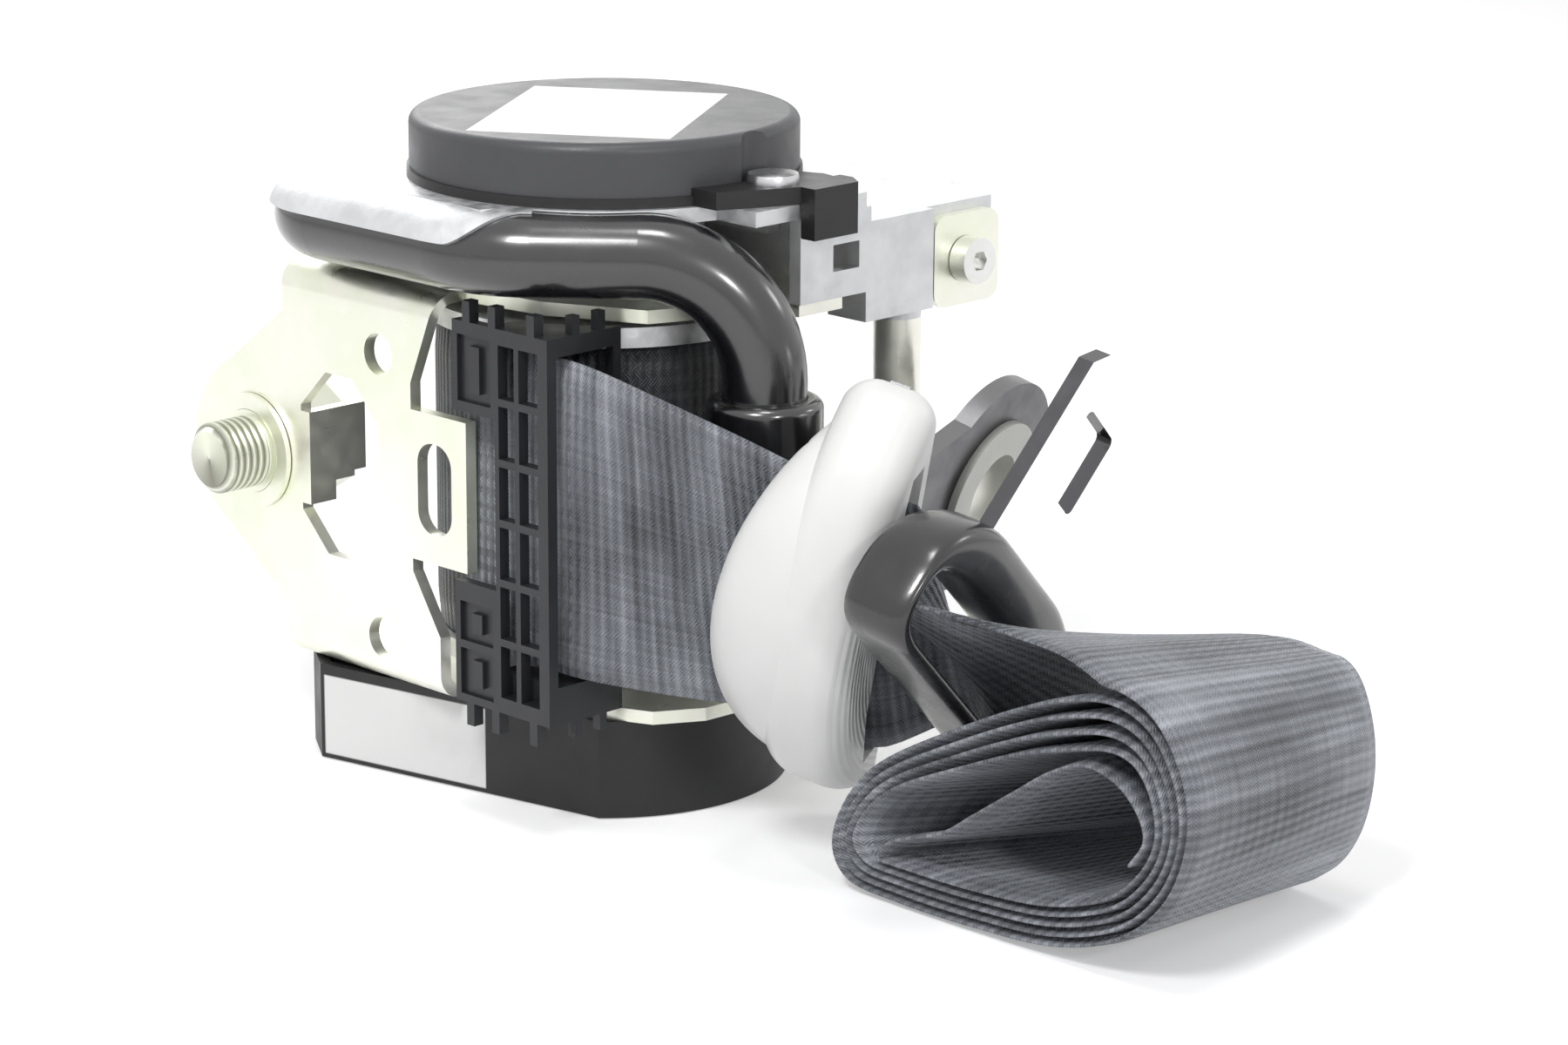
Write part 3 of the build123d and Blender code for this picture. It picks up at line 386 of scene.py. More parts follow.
def make_white_plastic():
    """White moulding with fine parallel ridges round its rim."""
    p = Paint("white_plastic", (0.86, 0.865, 0.85), 0.36)
    p.colour(p.ramp(p.noise(50, 4), [(0.3, (0.82, 0.83, 0.81)), (0.7, (0.87, 0.875, 0.86))]))
    p.rough(p.span(p.noise(200, 4), 0.3, 0.44))
    p.bump(p.noise(1500, 2), 0.000015)
    e = p.along(LOOP_EYE, LOOP_AT + LOOP_EYE * RIDGE_CENTRE)
    s = p.along(LOOP_ACROSS, LOOP_AT)
    radius = p.math("SQRT", p.math("ADD", p.math("MULTIPLY", e, e), p.math("MULTIPLY", s, s)))
    ridge = p.math("PINGPONG", radius, RIDGE_HALF_PITCH)
    out = p.along(LOOP_NORMAL, LOOP_AT)
    side = p.box((out, *RIDGE_OUT), (radius, *RIDGE_RADIUS), (s, *RIDGE_ALONG_SLOT), soft=2.0)
    p.bump(p.math("MULTIPLY", ridge, side), RIDGE_DEPTH * MM)
    p.set("Subsurface Weight", 0.12)
    p.set("Subsurface Scale", 0.002)
    p.set("Subsurface Radius", (1.0, 1.0, 1.0))
    return p


def make_plate_steel():
    """Dark phosphated plate, lighter on its sheared edges."""
    p = metal("plate_steel", (0.13, 0.13, 0.135), 0.36, 0.15)
    p.colour(p.mix(p.span(p.facing(LOOP_NORMAL), 0.75, 0.0, 0.3, 0.6), p.tone, (0.24, 0.24, 0.245)))
    return p


def make_chrome():
    """Plated blade, with a painted dark reflection on its stamped edges."""
    p = metal("chrome", (0.93, 0.93, 0.935), 0.16, 0.02)
    # The blade's edges, which stand beside its face, are darkened in colour: a painted reflection of dark
    # surroundings.
    p.colour(p.mix(p.span(p.facing(TONGUE_NORMAL), 1.0, 0.0, 0.55, 0.8), p.tone, (0.12, 0.12, 0.125)))
    return p


def make_black_grip():
    """Smooth glossy black moulding."""
    p = plastic("black_grip", (0.01, 0.01, 0.011), 0.24, grain=0.000008, coat=0.4)
    p.set("Coat Roughness", 0.12)
    p.set("Specular IOR Level", 0.7)
    return p


# The weave: the pitch of its cross ribs and of its twill, the width of the twill's rows, and their lean.
RIB_PITCH = 1.5
TWILL_PITCH = 0.5
TWILL_FOLD = 1.2
TWILL_LEAN = 0.8


def make_webbing_paint(name, level):
    """Woven polyester: cross ribs, fine twill and silvery streaks that are partly painted sheen, in the
    ribbon's own millimetres.
    """
    p = Paint(name, (0.08, 0.085, 0.095), 0.5)
    place = p.node("ShaderNodeUVMap", uv_map="run").outputs[0]
    cut = p.node("ShaderNodeSeparateXYZ")
    p.link(place, cut.inputs[0])
    along, across = cut.outputs[0], cut.outputs[1]

    def streaks(scale, stretch, detail):
        stretched = p.node("ShaderNodeMapping", Scale=stretch)
        p.link(place, stretched.inputs["Vector"])
        n = p.node("ShaderNodeTexNoise", Scale=scale, Detail=detail)
        p.link(stretched.outputs["Vector"], n.inputs["Vector"])
        return n.outputs["Fac"]

    def ridges(distance, pitch):
        return p.math("SINE", p.math("MULTIPLY", distance, 2 * math.pi / pitch))

    sway = p.span(streaks(0.05, (1, 1, 1), 3.0), -0.22, 0.22)
    rib = ridges(p.math("ADD", along, sway), RIB_PITCH)
    slant = p.math("PINGPONG", across, TWILL_FOLD)
    twill = ridges(p.math("ADD", along, p.math("MULTIPLY", slant, TWILL_LEAN)), TWILL_PITCH)
    # The streaks lift the tone towards the pale silvery stop: partly the weave's own uneven tone, partly
    # painted sheen, most of all in the bands across it.
    patch = p.span(streaks(0.06, (1, 0.5, 1), 3.0), 0.12, 0.6)
    painted_sheen_band = p.span(streaks(0.4, (1, 0.05, 1), 2.0), -0.16, 0.16)
    line = p.span(streaks(1.6, (0.03, 1, 1), 2.0), -0.07, 0.07)
    tone = p.math("ADD", p.math("MULTIPLY", rib, 0.085), p.math("MULTIPLY", twill, 0.06))
    tone = p.math("ADD", p.math("ADD", tone, line), p.math("ADD", patch, painted_sheen_band))
    dark, mid, pale = (0.03, 0.032, 0.037), (0.175, 0.187, 0.21), (0.47, 0.495, 0.54)
    stops = [(0.0, dark), (0.38, mid), (0.8, pale)]
    # The colours are scaled by level; a level below 1 makes a shaded copy of the weave, which is painted
    # shade.
    p.colour(p.ramp(tone, [(at, tuple(c * level for c in colour)) for at, colour in stops]))
    p.rough(p.span(twill, 0.52, 0.4, -1, 1))
    p.bump(rib, 0.00009)
    p.bump(twill, 0.00003)
    p.set("Sheen Weight", 0.7 * level)
    p.set("Sheen Roughness", 0.3)
    p.set("Sheen Tint", (0.8, 0.83, 0.9, 1))
    return p


white_plastic = make_white_plastic()
plate_steel = make_plate_steel()
chrome = make_chrome()
black_grip = make_black_grip()
webbing = make_webbing_paint("webbing", 1.0)
# The wound webbing is the same weave at 0.3 of the brightness, with less sheen: painted shade for its place
# in the spool's shadow.
wound_webbing = make_webbing_paint("wound_webbing", 0.3)

PAINT = {
    "mechanism_cover": base_cap, "cover_screws": zinc, "frame": yellow_zinc, "lower_bush": pale_bush,
    "upper_bush": pale_bush, "spool": cast_alloy, "torsion_bar": steel, "locking_wheel": steel,
    "inertia_disc": pale_bush, "lock_pawl": steel, "pawl_pin": steel, "pawl_spring": steel,
    "sensor_housing": pale_bush, "sensor_ball": steel, "sensor_lever": black_cover, "tie_rod": yellow_zinc,
    "pretensioner_tube": black_tube, "drive_balls": steel, "generator_holder": black_tube,
    "gas_generator": black_tube, "drive_pinion": steel, "pretensioner_housing": cast_alloy,
    "housing_screws": zinc, "end_bracket": yellow_zinc, "socket_screw": zinc, "spring_base": black_cover,
    "cover_rivet": steel, "spring_cover": spring_cap, "spring_arbor": pale_bush, "power_spring": steel,
    "mounting_bolt": bolt_zinc, "bolt_retainer": yellow_zinc, "webbing_guide": guide_plastic,
    "loop_plate": plate_steel, "loop_cover": white_plastic, "loop_bush": pale_bush, "tongue_plate": chrome,
    "tongue_grip": black_grip,
}

for name, paint in PAINT.items():
    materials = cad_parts[name].data.materials
    materials.clear()
    materials.append(paint.mat)


# Webbing

WIDTH = 47.0
THICK = 1.2
WOUND_THICK = 1.12

# The webbing thins towards its edges: over this width, down to this share of its thickness.
EDGE_WIDTH = 0.8
EDGE_SHARE = 0.35


def between(a, b, c, d, t):
    """A point the share t of the way from b to c, on the smooth curve through a, b, c and d."""
    return 0.5 * (2 * b + (c - a) * t + (2 * a - 5 * b + 4 * c - d) * t**2 + (3 * b - a - 3 * c + d) * t**3)


def smooth(points, step):
    """Points every step or so on a smooth curve through the given ones."""
    pts = np.array(points, float)
    ends = np.vstack([2 * pts[0] - pts[1], pts, 2 * pts[-1] - pts[-2]])
    out = []
    for i in range(1, len(ends) - 2):
        a, b, c, d = ends[i - 1], ends[i], ends[i + 1], ends[i + 2]
        count = max(2, int(np.linalg.norm((c - b)[:3]) / step))
        out += [between(a, b, c, d, k / count) for k in range(count)]
    out.append(pts[-1])
    return np.array(out)


def smooth_loop(points, count):
    """Evenly numbered points on a smooth closed curve through the given ones."""
    pts = np.array(points, float)
    n = len(pts)
    out = []
    for i in range(count):
        s = i / count * n
        k = int(s)
        a, b, c, d = (pts[(k + j) % n] for j in (-1, 0, 1, 2))
        out.append(between(a, b, c, d, s - k))
    return np.array(out)


def lengths(line):
    """The distance from a line's first point to each of its points."""
    return np.concatenate([[0], np.cumsum(np.linalg.norm(np.diff(line, axis=0), axis=1))])


def ribbon(name, left, right, thick=THICK, columns=16, body="retractor", paint=webbing):
    """Flat webbing between two edge lines, with its own lengthwise and crosswise millimetres as UV."""
    rows = len(left)
    share = np.linspace(0, 1, columns + 1)
    mid = left[:, None, :] * (1 - share)[None, :, None] + right[:, None, :] * share[None, :, None]
    normal = np.cross((right - left)[:, None, :], np.gradient(mid, axis=0))
    normal /= np.linalg.norm(normal, axis=2)[:, :, None] + 1e-12
    edge = np.minimum(share, 1 - share) * WIDTH
    fall = np.clip(edge / EDGE_WIDTH, 0, 1) ** 0.5
    half = thick / 2 * (EDGE_SHARE + (1 - EDGE_SHARE) * fall)
    top = mid + normal * half[None, :, None]
    low = mid - normal * half[None, :, None]
    run = lengths((left + right) / 2)
    verts = np.vstack([top.reshape(-1, 3), low.reshape(-1, 3)]) * MM
    width = columns + 1
    size = rows * width
    faces, uvs = [], []

    def add(*corners):
        faces.append(corners)
        for corner in corners:
            row, column = divmod(corner % size, width)
            uvs.append((run[row], share[column] * WIDTH))

    for i in range(rows - 1):
        for j in range(columns):
            a = i * width + j
            add(a, a + 1, a + 1 + width, a + width)
            add(size + a, size + a + width, size + a + 1 + width, size + a + 1)
        a, b = i * width, i * width + columns
        add(a, a + width, size + a + width, size + a)
        add(b, size + b, size + b + width, b + width)
    for j in range(columns):
        a, b = j, (rows - 1) * width + j
        add(a, size + a, size + a + 1, a + 1)
        add(b, b + 1, size + b + 1, size + b)
    mesh = bpy.data.meshes.new(name)
    mesh.from_pydata([tuple(v) for v in verts], [], faces)
    layer = mesh.uv_layers.new(name="run")
    layer.data.foreach_set("uv", np.array(uvs, float).ravel())
    mesh.shade_smooth()
    mesh.validate()
    obj = add_object(name, mesh)
    mesh.materials.append(paint.mat)
    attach(obj, body)
    obj["length"] = float(run[-1])
    return obj


# Middle lines of the roll's outermost and innermost full turns at its near end, as (y, z).
ROLL_OUTER = [
    (-114.0, 40.9), (-122.6, 38.4), (-128.0, 30.8), (-129.0, 22.2), (-125.6, 13.2),
    (-117.7, 6.0), (-106.0, 2.0), (-92.0, 0.9), (-77.0, 0.8), (-66.6, 2.0),
    (-64.2, 8.2), (-71.0, 18.6), (-87.0, 28.7), (-103.5, 37.6),
]
ROLL_INNER = [
    (-112.5, 31.6), (-118.8, 31.4), (-122.4, 27.6), (-123.6, 21.6), (-121.0, 16.0),
    (-115.0, 10.9), (-104.8, 7.5), (-91.5, 6.2), (-78.0, 6.0), (-71.4, 6.4),
    (-69.6, 9.2), (-75.0, 15.2), (-87.5, 21.4), (-101.0, 27.8),
]
# The loose inner end leaves the left bend and leans up across the hollow.
ROLL_LOOSE = [
    (-73.6, 7.6), (-76.0, 9.6), (-84.9, 12.9), (-91.0, 17.0), (-98.2, 22.0), (-105.0, 26.6),
    (-111.0, 28.9), (-116.6, 27.7), (-120.4, 24.4), (-121.6, 20.6), (-119.0, 16.6),
]
ROLL_X = (-16.0, 31.0)
ROLL_TURNS = 4.66
POINTS_PER_TURN = 160
# Each turn keeps its distance up to this share of its way round, and then steps in to the next.
ROLL_STEP = 0.8
# The last points of the full turns make way for the loose end, and so do the loose end's own first points.
ROLL_CUT = 5
LOOSE_CUT = 3
# The points on the loose end and on the run before the roll are about this far apart.
LOOSE_STEP = 0.6
RUN_STEP = 2.0

# The roll's far end is shorter and lower than its near end, as the turns slip sideways. Each pair says which
# y at the near end goes to which y at the far end, and the share is how much of the length is left there.
FAR_HEIGHT = 0.87
FAR_INWARD = 0.96
FAR_TURN_Y = (-129.6, -124.0)
FAR_TURN_SHARE = 0.5
FAR_LOOSE_Y = (-121.6, -116.2)
FAR_LOOSE_SHARE = 0.36


def far_end(near, from_to, share):
    """Points at the roll's far end for points at its near end."""
    y, z = near[:, 0], near[:, 1]
    return np.stack([from_to[1] + (y - from_to[0]) * share, z * FAR_HEIGHT], axis=1)


def roll_edges():
    """Both edges of the rolled webbing: every turn steps in on top, under the landing run."""
    outer = smooth_loop(ROLL_OUTER, POINTS_PER_TURN)
    inner = smooth_loop(ROLL_INNER, POINTS_PER_TURN)
    turn = np.arange(int(POINTS_PER_TURN * ROLL_TURNS) + 1) / POINTS_PER_TURN
    step = np.clip((turn % 1 - ROLL_STEP) / (1 - ROLL_STEP), 0, 1)
    share = (np.floor(turn) + step * step * (3 - 2 * step)) / int(ROLL_TURNS)
    index = np.arange(len(turn)) % POINTS_PER_TURN
    inward = (inner - outer)[index] * np.minimum(share, 1)[:, None]
    near = outer[index] + inward
    far = far_end(outer[index], FAR_TURN_Y, FAR_TURN_SHARE) + inward * FAR_INWARD
    loose = smooth(np.vstack([near[-ROLL_CUT - 1], ROLL_LOOSE]), LOOSE_STEP)[LOOSE_CUT:]
    near = np.vstack([near[:-ROLL_CUT], loose])
    far = np.vstack([far[:-ROLL_CUT], far_end(loose, FAR_LOOSE_Y, FAR_LOOSE_SHARE)])
    left = np.column_stack([np.full(len(near), ROLL_X[0]), near])
    right = np.column_stack([np.full(len(far), ROLL_X[1]), far])
    return left, right


# The webbing runs upright through the guide, between these places.
RUN_X = -26.9
RUN_Y = (0.5, -12, -24)
RUN_Z = 47.7
# It passes the loop a little off the slot's middle, and goes straight for these distances before and after
# the loop's slot and the tongue's.
LOOP_SHIFT = 1.4
LOOP_STRAIGHT = (8.0, 8.4)
TONGUE_STRAIGHT = (6.2, 6.5)
# Its upper edge is gathered in towards the loop's slot, at each station on the way.
GATHER = (0, 0, 0, 1.5, 3.0, 4.5, 4.5, 4.5, 0, 0)
# From the tongue it lands on the roll, its near and far edges over these places.
LANDING_LEFT = [(-11.8, -93.0, 42.6), (-15.2, -106.0, 43.2)]
LANDING_RIGHT = [(24.5, -93.0, 32.4), (30.2, -106.0, 36.2)]


def belt_stations():
    """Places of the webbing's middle on its way to the tongue, each with the way to its upper edge."""
    stations = [(np.array((RUN_X, y, RUN_Z)), np.array(Z_WAY, float)) for y in RUN_Y]
    leave, way_out = stations[-1]
    in_loop = LOOP_AT + LOOP_EYE * LOOP_SHIFT
    reach = in_loop - LOOP_NORMAL * LOOP_STRAIGHT[0]
    for t in (0.33, 0.67):
        stations.append((leave * (1 - t) + reach * t, unit(way_out * (1 - t) + LOOP_ACROSS * t)))
    for place in (reach, in_loop, in_loop + LOOP_NORMAL * LOOP_STRAIGHT[1]):
        stations.append((place, LOOP_ACROSS))
    for distance in (-TONGUE_STRAIGHT[0], TONGUE_STRAIGHT[1]):
        stations.append((TONGUE_SLOT + TONGUE_NORMAL * distance, -TONGUE_ACROSS))
    return stations


def belt_edges():
    """Both edges of the webbing from the spool to its loose end in the roll."""
    half = WIDTH / 2
    stations = belt_stations()
    roll_left, roll_right = roll_edges()
    left = [place + way * (half - gather) for (place, way), gather in zip(stations, GATHER)]
    right = [place - way * half for place, way in stations]
    left = smooth(left + LANDING_LEFT + [roll_left[0]], RUN_STEP)[:-1]
    right = smooth(right + LANDING_RIGHT + [roll_right[0]], RUN_STEP)[:-1]
    # Both edge lines get the same number of points.
    steps = np.linspace(0, 1, len(left))
    own = np.linspace(0, 1, len(right))
    right = np.stack([np.interp(steps, own, right[:, k]) for k in range(3)], axis=1)
    return np.vstack([left, roll_left]), np.vstack([right, roll_right])


belt = ribbon("belt_webbing", *belt_edges())
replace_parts(belt, "webbing_run", "webbing_roll")

WOUND_TURNS = 10.6
WOUND_POINTS_PER_TURN = 72
WOUND_RADIUS = (13.2, 25.4)
WOUND_Z = (24.2, 71.2)


def wound_edges():
    """The webbing wound on the spool, one spiral from the barrel to the outside."""
    steps = int(WOUND_TURNS * WOUND_POINTS_PER_TURN) + 1
    angle = np.linspace(0, WOUND_TURNS * 2 * np.pi, steps)
    radius = np.linspace(*WOUND_RADIUS, steps)
    x, y = radius * np.cos(angle), radius * np.sin(angle)
    low, high = (np.column_stack([x, y, np.full_like(x, z)]) for z in WOUND_Z)
    return high, low


# The wound belt wears the darker weave, painted shade for its place inside the frame.
wound = ribbon("wound_belt", *wound_edges(), WOUND_THICK, columns=10, body="spool", paint=wound_webbing)
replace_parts(wound, "wound_webbing")


# Casting

# The bent tube's radius and the height of its middle line, and the top of the casting's deck.
TUBE_RADIUS = 6.25
TUBE_Z = 85.9
DECK_TOP = 92.5
# The tube's middle line in plan: two straight stretches, and two bends as (centre, radius).
TUBE_BACK_Y = 36.0
TUBE_LEFT_X = -32.0
FIRST_BEND = ((-21, 25), 11)
SECOND_BEND = ((-14, -2.1), 18)

# The shell covers the tube from this x on the back stretch, between these ys on the left stretch, and up to
# this angle of the second bend. It has this many rings on each stretch and bend in turn.
SHELL_BACK_X = -13
SHELL_LEFT_Y = (24, -2)
SHELL_END = 222
RINGS = (8, 24, 24, 26)
# How far the shell's inner and outer skins stand off the tube, and what the outer one has more at the side.
SHELL_INNER = 0.05
SHELL_OUTER = 0.37
SHELL_EXTRA = 0.66
SHELL_ARC_POINTS = 10
# It reaches from this angle above the tube's middle up to the deck. Its edge climbs over the last rings.
SHELL_ANGLE = 16
SHELL_CLIMB = 62
CLIMB_RINGS = 20
CLIMB_LENGTH = 17
# Its flange lies on the deck: how far it reaches in from the tube's middle line, and its underside.
FLANGE_REACH = (-3.0, -6.5)
FLANGE_LOW = 6.3
FLANGE_TOP = DECK_TOP - TUBE_Z + 0.02

# The deck is trimmed by upright planes, each a point in plan and the way to the side that is cut off.
TRIMS = (((-33, 0), (-1, 0)), ((-33, 26.5), (-0.7071, 0.7071)))
# Points closer than this are one, and a fold sharper than this stays a hard edge, in metres and radians.
WELD = 1e-7
CREASE = 0.55


def ease(t):
    """0 below 0, 1 above 1, and a gentle S between them."""
    t = min(max(t, 0), 1)
    return t * t * (3 - 2 * t)


def bend(centre, radius, start, end, count):
    """Points round a bend, each with the direction away from its centre, without the first one."""
    points = []
    for angle in np.radians(np.linspace(start, end, count))[1:]:
        way = (math.cos(angle), math.sin(angle))
        points.append(((centre[0] + radius * way[0], centre[1] + radius * way[1]), way))
    return points


def shroud_path():
    """Middle line of the tube's part that the casting covers, with the direction away from the spool."""
    back, first, left, second = RINGS
    points = [((x, TUBE_BACK_Y), (0.0, 1.0)) for x in np.linspace(SHELL_BACK_X, FIRST_BEND[0][0], back)]
    points += bend(*FIRST_BEND, 90, 180, first)
    points += [((TUBE_LEFT_X, y), (-1.0, 0.0)) for y in np.linspace(*SHELL_LEFT_Y, left)]
    points += bend(*SECOND_BEND, 180, SHELL_END, second)
    return points


def shroud_section(low):
    """The shell's outline from the low angle upwards, as distances outwards and up from the tube's middle."""
    angles = np.linspace(low, math.pi / 2, SHELL_ARC_POINTS)
    section = []
    for a in angles:
        r = TUBE_RADIUS + SHELL_OUTER + SHELL_EXTRA * math.cos(a) ** 2
        section.append((r * math.cos(a), r * math.sin(a)))
    near, far = FLANGE_REACH
    section += [(near, FLANGE_TOP), (far, FLANGE_TOP), (far, FLANGE_LOW), (near, FLANGE_LOW)]
    r = TUBE_RADIUS + SHELL_INNER
    section += [(r * math.cos(a), r * math.sin(a)) for a in angles[::-1]]
    return section


def add_shroud(bm):
    """Shell over the tube's outer shoulder. Its lower edge climbs in an S where the tube bends away."""
    path = shroud_path()
    rings = []
    for i, ((x, y), (way_x, way_y)) in enumerate(path):
        climb = ease((i - (len(path) - CLIMB_RINGS)) / CLIMB_LENGTH)
        section = shroud_section(math.radians(SHELL_ANGLE + SHELL_CLIMB * climb))
        ring = [((x + way_x * u) * MM, (y + way_y * u) * MM, (TUBE_Z + w) * MM) for u, w in section]
        rings.append([bm.verts.new(corner) for corner in ring])
    for one, two in zip(rings, rings[1:]):
        for j in range(len(one)):
            k = (j + 1) % len(one)
            bm.faces.new((one[j], one[k], two[k], two[j]))
    bm.faces.new(rings[0])
    bm.faces.new(rings[-1][::-1])


def trim(bm, point, way):
    """Cuts off what lies beyond an upright plane, and closes the cut."""
    cut = bmesh.ops.bisect_plane(
        bm, geom=bm.verts[:] + bm.edges[:] + bm.faces[:], dist=WELD, clear_outer=True,
        plane_co=(point[0] * MM, point[1] * MM, 0), plane_no=(*way, 0),
    )
    rim = [e for e in cut["geom_cut"] if isinstance(e, bmesh.types.BMEdge)]
    bmesh.ops.triangle_fill(bm, use_beauty=True, edges=rim)


def make_casting():
    """The casting, its deck trimmed to the tube's middle line, with a shell on the tube's shoulder."""
    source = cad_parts["pretensioner_housing"]
    bm = bmesh.new()
    bm.from_mesh(source.data)
    bm.transform(source.matrix_world)
    bmesh.ops.remove_doubles(bm, verts=bm.verts, dist=WELD)
    for point, way in TRIMS:
        trim(bm, point, way)
    add_shroud(bm)
    bmesh.ops.recalc_face_normals(bm, faces=bm.faces)
    for face in bm.faces:
        face.smooth = True
    for edge in bm.edges:
        if len(edge.link_faces) == 2 and edge.calc_face_angle() > CREASE:
            edge.smooth = False
    mesh = bpy.data.meshes.new("cast_housing")
    bm.to_mesh(mesh)
    bm.free()
    obj = add_object("cast_housing", mesh)
    mesh.materials.append(cast_alloy.mat)
    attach(obj, "retractor")
    return obj


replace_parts(make_casting(), "pretensioner_housing")


# Tongue grip

# The ring's outer and inner outlines in the blade's plane, and the radii of their corners.
GRIP_OUTER = [(-26.5, -8), (-16, -0.1), (16, -0.1), (26.5, -8), (26.5, -23.9), (-26.5, -23.9)]
GRIP_INNER = [(-24.2, -12.0), (-12, -9.6), (12, -9.6), (24.2, -12.0), (24.2, -21.0), (-24.2, -21.0)]
GRIP_CORNERS = (7.0, 4.5)
GRIP_HALF_THICK = 5.4
# 1 gives the ring's section the form of an ellipse, and less than 1 makes it squarer.
GRIP_SQUARE = 0.62
# Points along the ring, round its section, and in each corner of its outlines.
GRIP_COUNT = 160
GRIP_AROUND = 28
CORNER_POINTS = 9


def rounded(points, radius, count):
    """Closed line with rounded corners, sampled evenly from its first corner."""
    pts = [np.array(q, float) for q in points]
    line = []
    for i, here in enumerate(pts):
        before, after = pts[i - 1], pts[(i + 1) % len(pts)]
        reach = min(radius, np.linalg.norm(before - here) / 2, np.linalg.norm(after - here) / 2)
        a = here + unit(before - here) * reach
        b = here + unit(after - here) * reach
        for t in np.linspace(0, 1, CORNER_POINTS):
            line.append(a * (1 - t) ** 2 + here * 2 * t * (1 - t) + b * t**2)
    line = np.array(line + [line[0]])
    run = lengths(line)
    steps = np.linspace(0, run[-1], count, endpoint=False)
    return np.column_stack([np.interp(steps, run, line[:, k]) for k in range(2)])


def squarer(value):
    return math.copysign(abs(value) ** GRIP_SQUARE, value)


def make_grip():
    """Smooth moulded ring round the webbing slot, with a rounded section all the way."""
    outer = rounded(GRIP_OUTER, GRIP_CORNERS[0], GRIP_COUNT)
    inner = rounded(GRIP_INNER, GRIP_CORNERS[1], GRIP_COUNT)
    verts, faces = [], []
    for o, n in zip(outer, inner):
        mid, half = (o + n) / 2, (o - n) / 2
        for j in range(GRIP_AROUND):
            angle = 2 * math.pi * j / GRIP_AROUND
            flat = mid + half * squarer(math.cos(angle))
            lift = GRIP_HALF_THICK * squarer(math.sin(angle))
            p = TONGUE_AT + TONGUE_ACROSS * flat[0] + TONGUE_BLADE * flat[1] + TONGUE_NORMAL * lift
            verts.append(tuple(p * MM))
    for i in range(GRIP_COUNT):
        here, there = i * GRIP_AROUND, (i + 1) % GRIP_COUNT * GRIP_AROUND
        for j in range(GRIP_AROUND):
            m = (j + 1) % GRIP_AROUND
            faces.append((here + j, there + j, there + m, here + m))
    mesh = bpy.data.meshes.new("tongue_ring")
    mesh.from_pydata(verts, [], faces)
    bm = bmesh.new()
    bm.from_mesh(mesh)
    bmesh.ops.recalc_face_normals(bm, faces=bm.faces)
    bm.to_mesh(mesh)
    bm.free()
    mesh.shade_smooth()
    obj = add_object("tongue_ring", mesh)
    mesh.materials.append(black_grip.mat)
    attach(obj, "tongue")
    return obj


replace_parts(make_grip(), "tongue_grip")


# Floor and light, in metres

FLOOR_SIZE = 4.0
FLOOR_DROP = 0.0002
FLOOR_COLOUR = (0.86, 0.86, 0.87, 1)
FLOOR_GLOW = 0.34
WORLD_LIGHT = 0.32
WORLD_SEEN = 1.0


def seen_rays(tree):
    """1 on rays that show the background, straight, in gloss or through glass, and 0 on others."""
    path = tree.nodes.new("ShaderNodeLightPath")
    seen = path.outputs["Is Camera Ray"]
    for kind in ("Is Glossy Ray", "Is Transmission Ray"):
        either = tree.nodes.new("ShaderNodeMath")
        either.operation = "MAXIMUM"
        tree.links.new(seen, either.inputs[0])
        tree.links.new(path.outputs[kind], either.inputs[1])
        seen = either.outputs[0]
    return seen


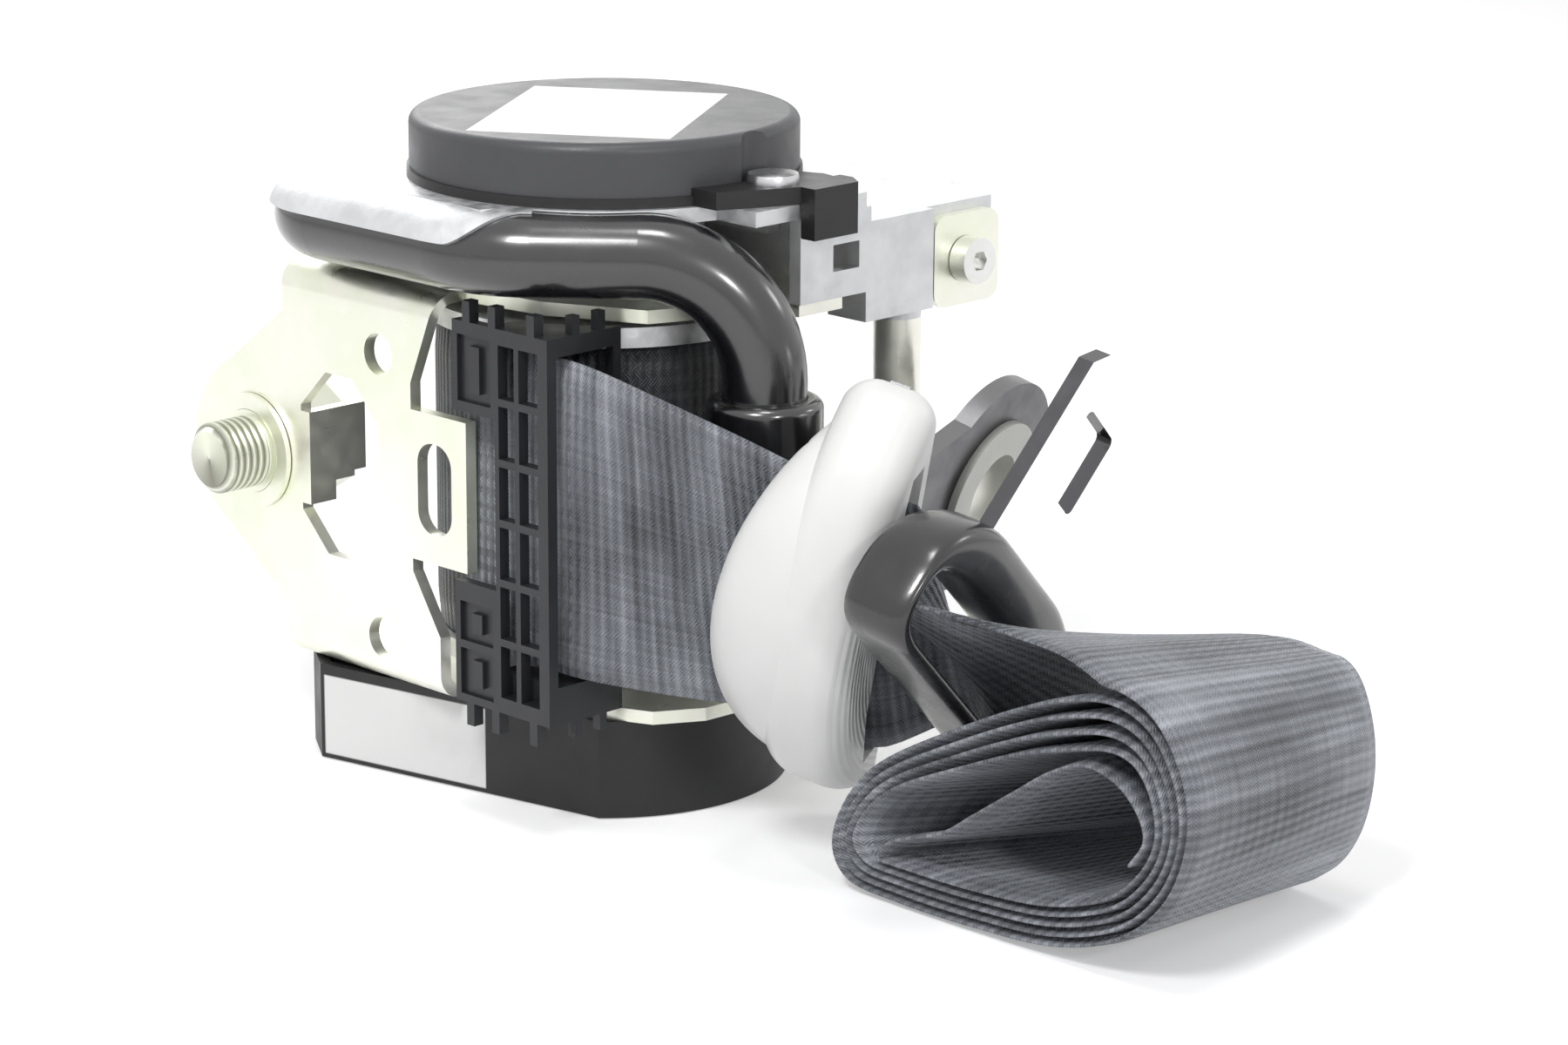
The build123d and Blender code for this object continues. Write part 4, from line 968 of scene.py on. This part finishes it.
def make_floor_material():
    """Pale matte floor that takes shadows, with a glow that only the camera, metal and glass see."""
    mat = bpy.data.materials.new("floor")
    mat.use_nodes = True
    tree = mat.node_tree
    tree.nodes.clear()
    out = tree.nodes.new("ShaderNodeOutputMaterial")
    diffuse = tree.nodes.new("ShaderNodeBsdfDiffuse")
    diffuse.inputs["Color"].default_value = FLOOR_COLOUR
    glow = tree.nodes.new("ShaderNodeEmission")
    glow.inputs["Strength"].default_value = FLOOR_GLOW
    both = tree.nodes.new("ShaderNodeAddShader")
    pick = tree.nodes.new("ShaderNodeMixShader")
    tree.links.new(diffuse.outputs[0], both.inputs[0])
    tree.links.new(glow.outputs[0], both.inputs[1])
    tree.links.new(seen_rays(tree), pick.inputs[0])
    tree.links.new(diffuse.outputs[0], pick.inputs[1])
    tree.links.new(both.outputs[0], pick.inputs[2])
    tree.links.new(pick.outputs[0], out.inputs["Surface"])
    return mat


def make_floor():
    bm = bmesh.new()
    bmesh.ops.create_grid(bm, x_segments=1, y_segments=1, size=FLOOR_SIZE)
    mesh = bpy.data.meshes.new("floor")
    bm.to_mesh(mesh)
    bm.free()
    floor = add_object("floor", mesh)
    floor.location = (0, 0, -FLOOR_DROP)
    mesh.materials.append(make_floor_material())


def make_world():
    """Soft even light, and a white background where the background is seen."""
    world = bpy.data.worlds.new("world")
    bpy.context.scene.world = world
    world.use_nodes = True
    tree = world.node_tree
    back = tree.nodes["Background"]
    level = tree.nodes.new("ShaderNodeMapRange")
    level.inputs["To Min"].default_value = WORLD_LIGHT
    level.inputs["To Max"].default_value = WORLD_SEEN
    tree.links.new(seen_rays(tree), level.inputs["Value"])
    tree.links.new(level.outputs["Result"], back.inputs["Strength"])
    back.inputs["Color"].default_value = (1, 1, 1, 1)


make_floor()
make_world()

LAMP_AIM = Vector((0.0, -0.03, 0.05))

# Each lamp's name, place, width, height and power in watts.
LAMPS = (
    ("key", (-0.55, -0.25, 0.75), 0.2, 0.2, 3.7),
    ("top", (-0.1, -0.16, 0.9), 0.16, 0.16, 1.3),
    ("front", (-0.3, -0.85, 0.45), 0.1, 0.1, 1.4),
    ("side", (0.75, -0.45, 0.45), 0.16, 0.16, 0.5),
    ("back", (0.4, 0.8, 0.6), 0.6, 0.4, 4.0),
)

for name, at, width, height, power in LAMPS:
    light = bpy.data.lights.new(name, "AREA")
    light.shape = "RECTANGLE"
    light.size, light.size_y = width, height
    light.energy = power
    lamp = add_object(name, light)
    lamp.location = at
    lamp.rotation_euler = (LAMP_AIM - Vector(at)).to_track_quat("-Z", "Y").to_euler()
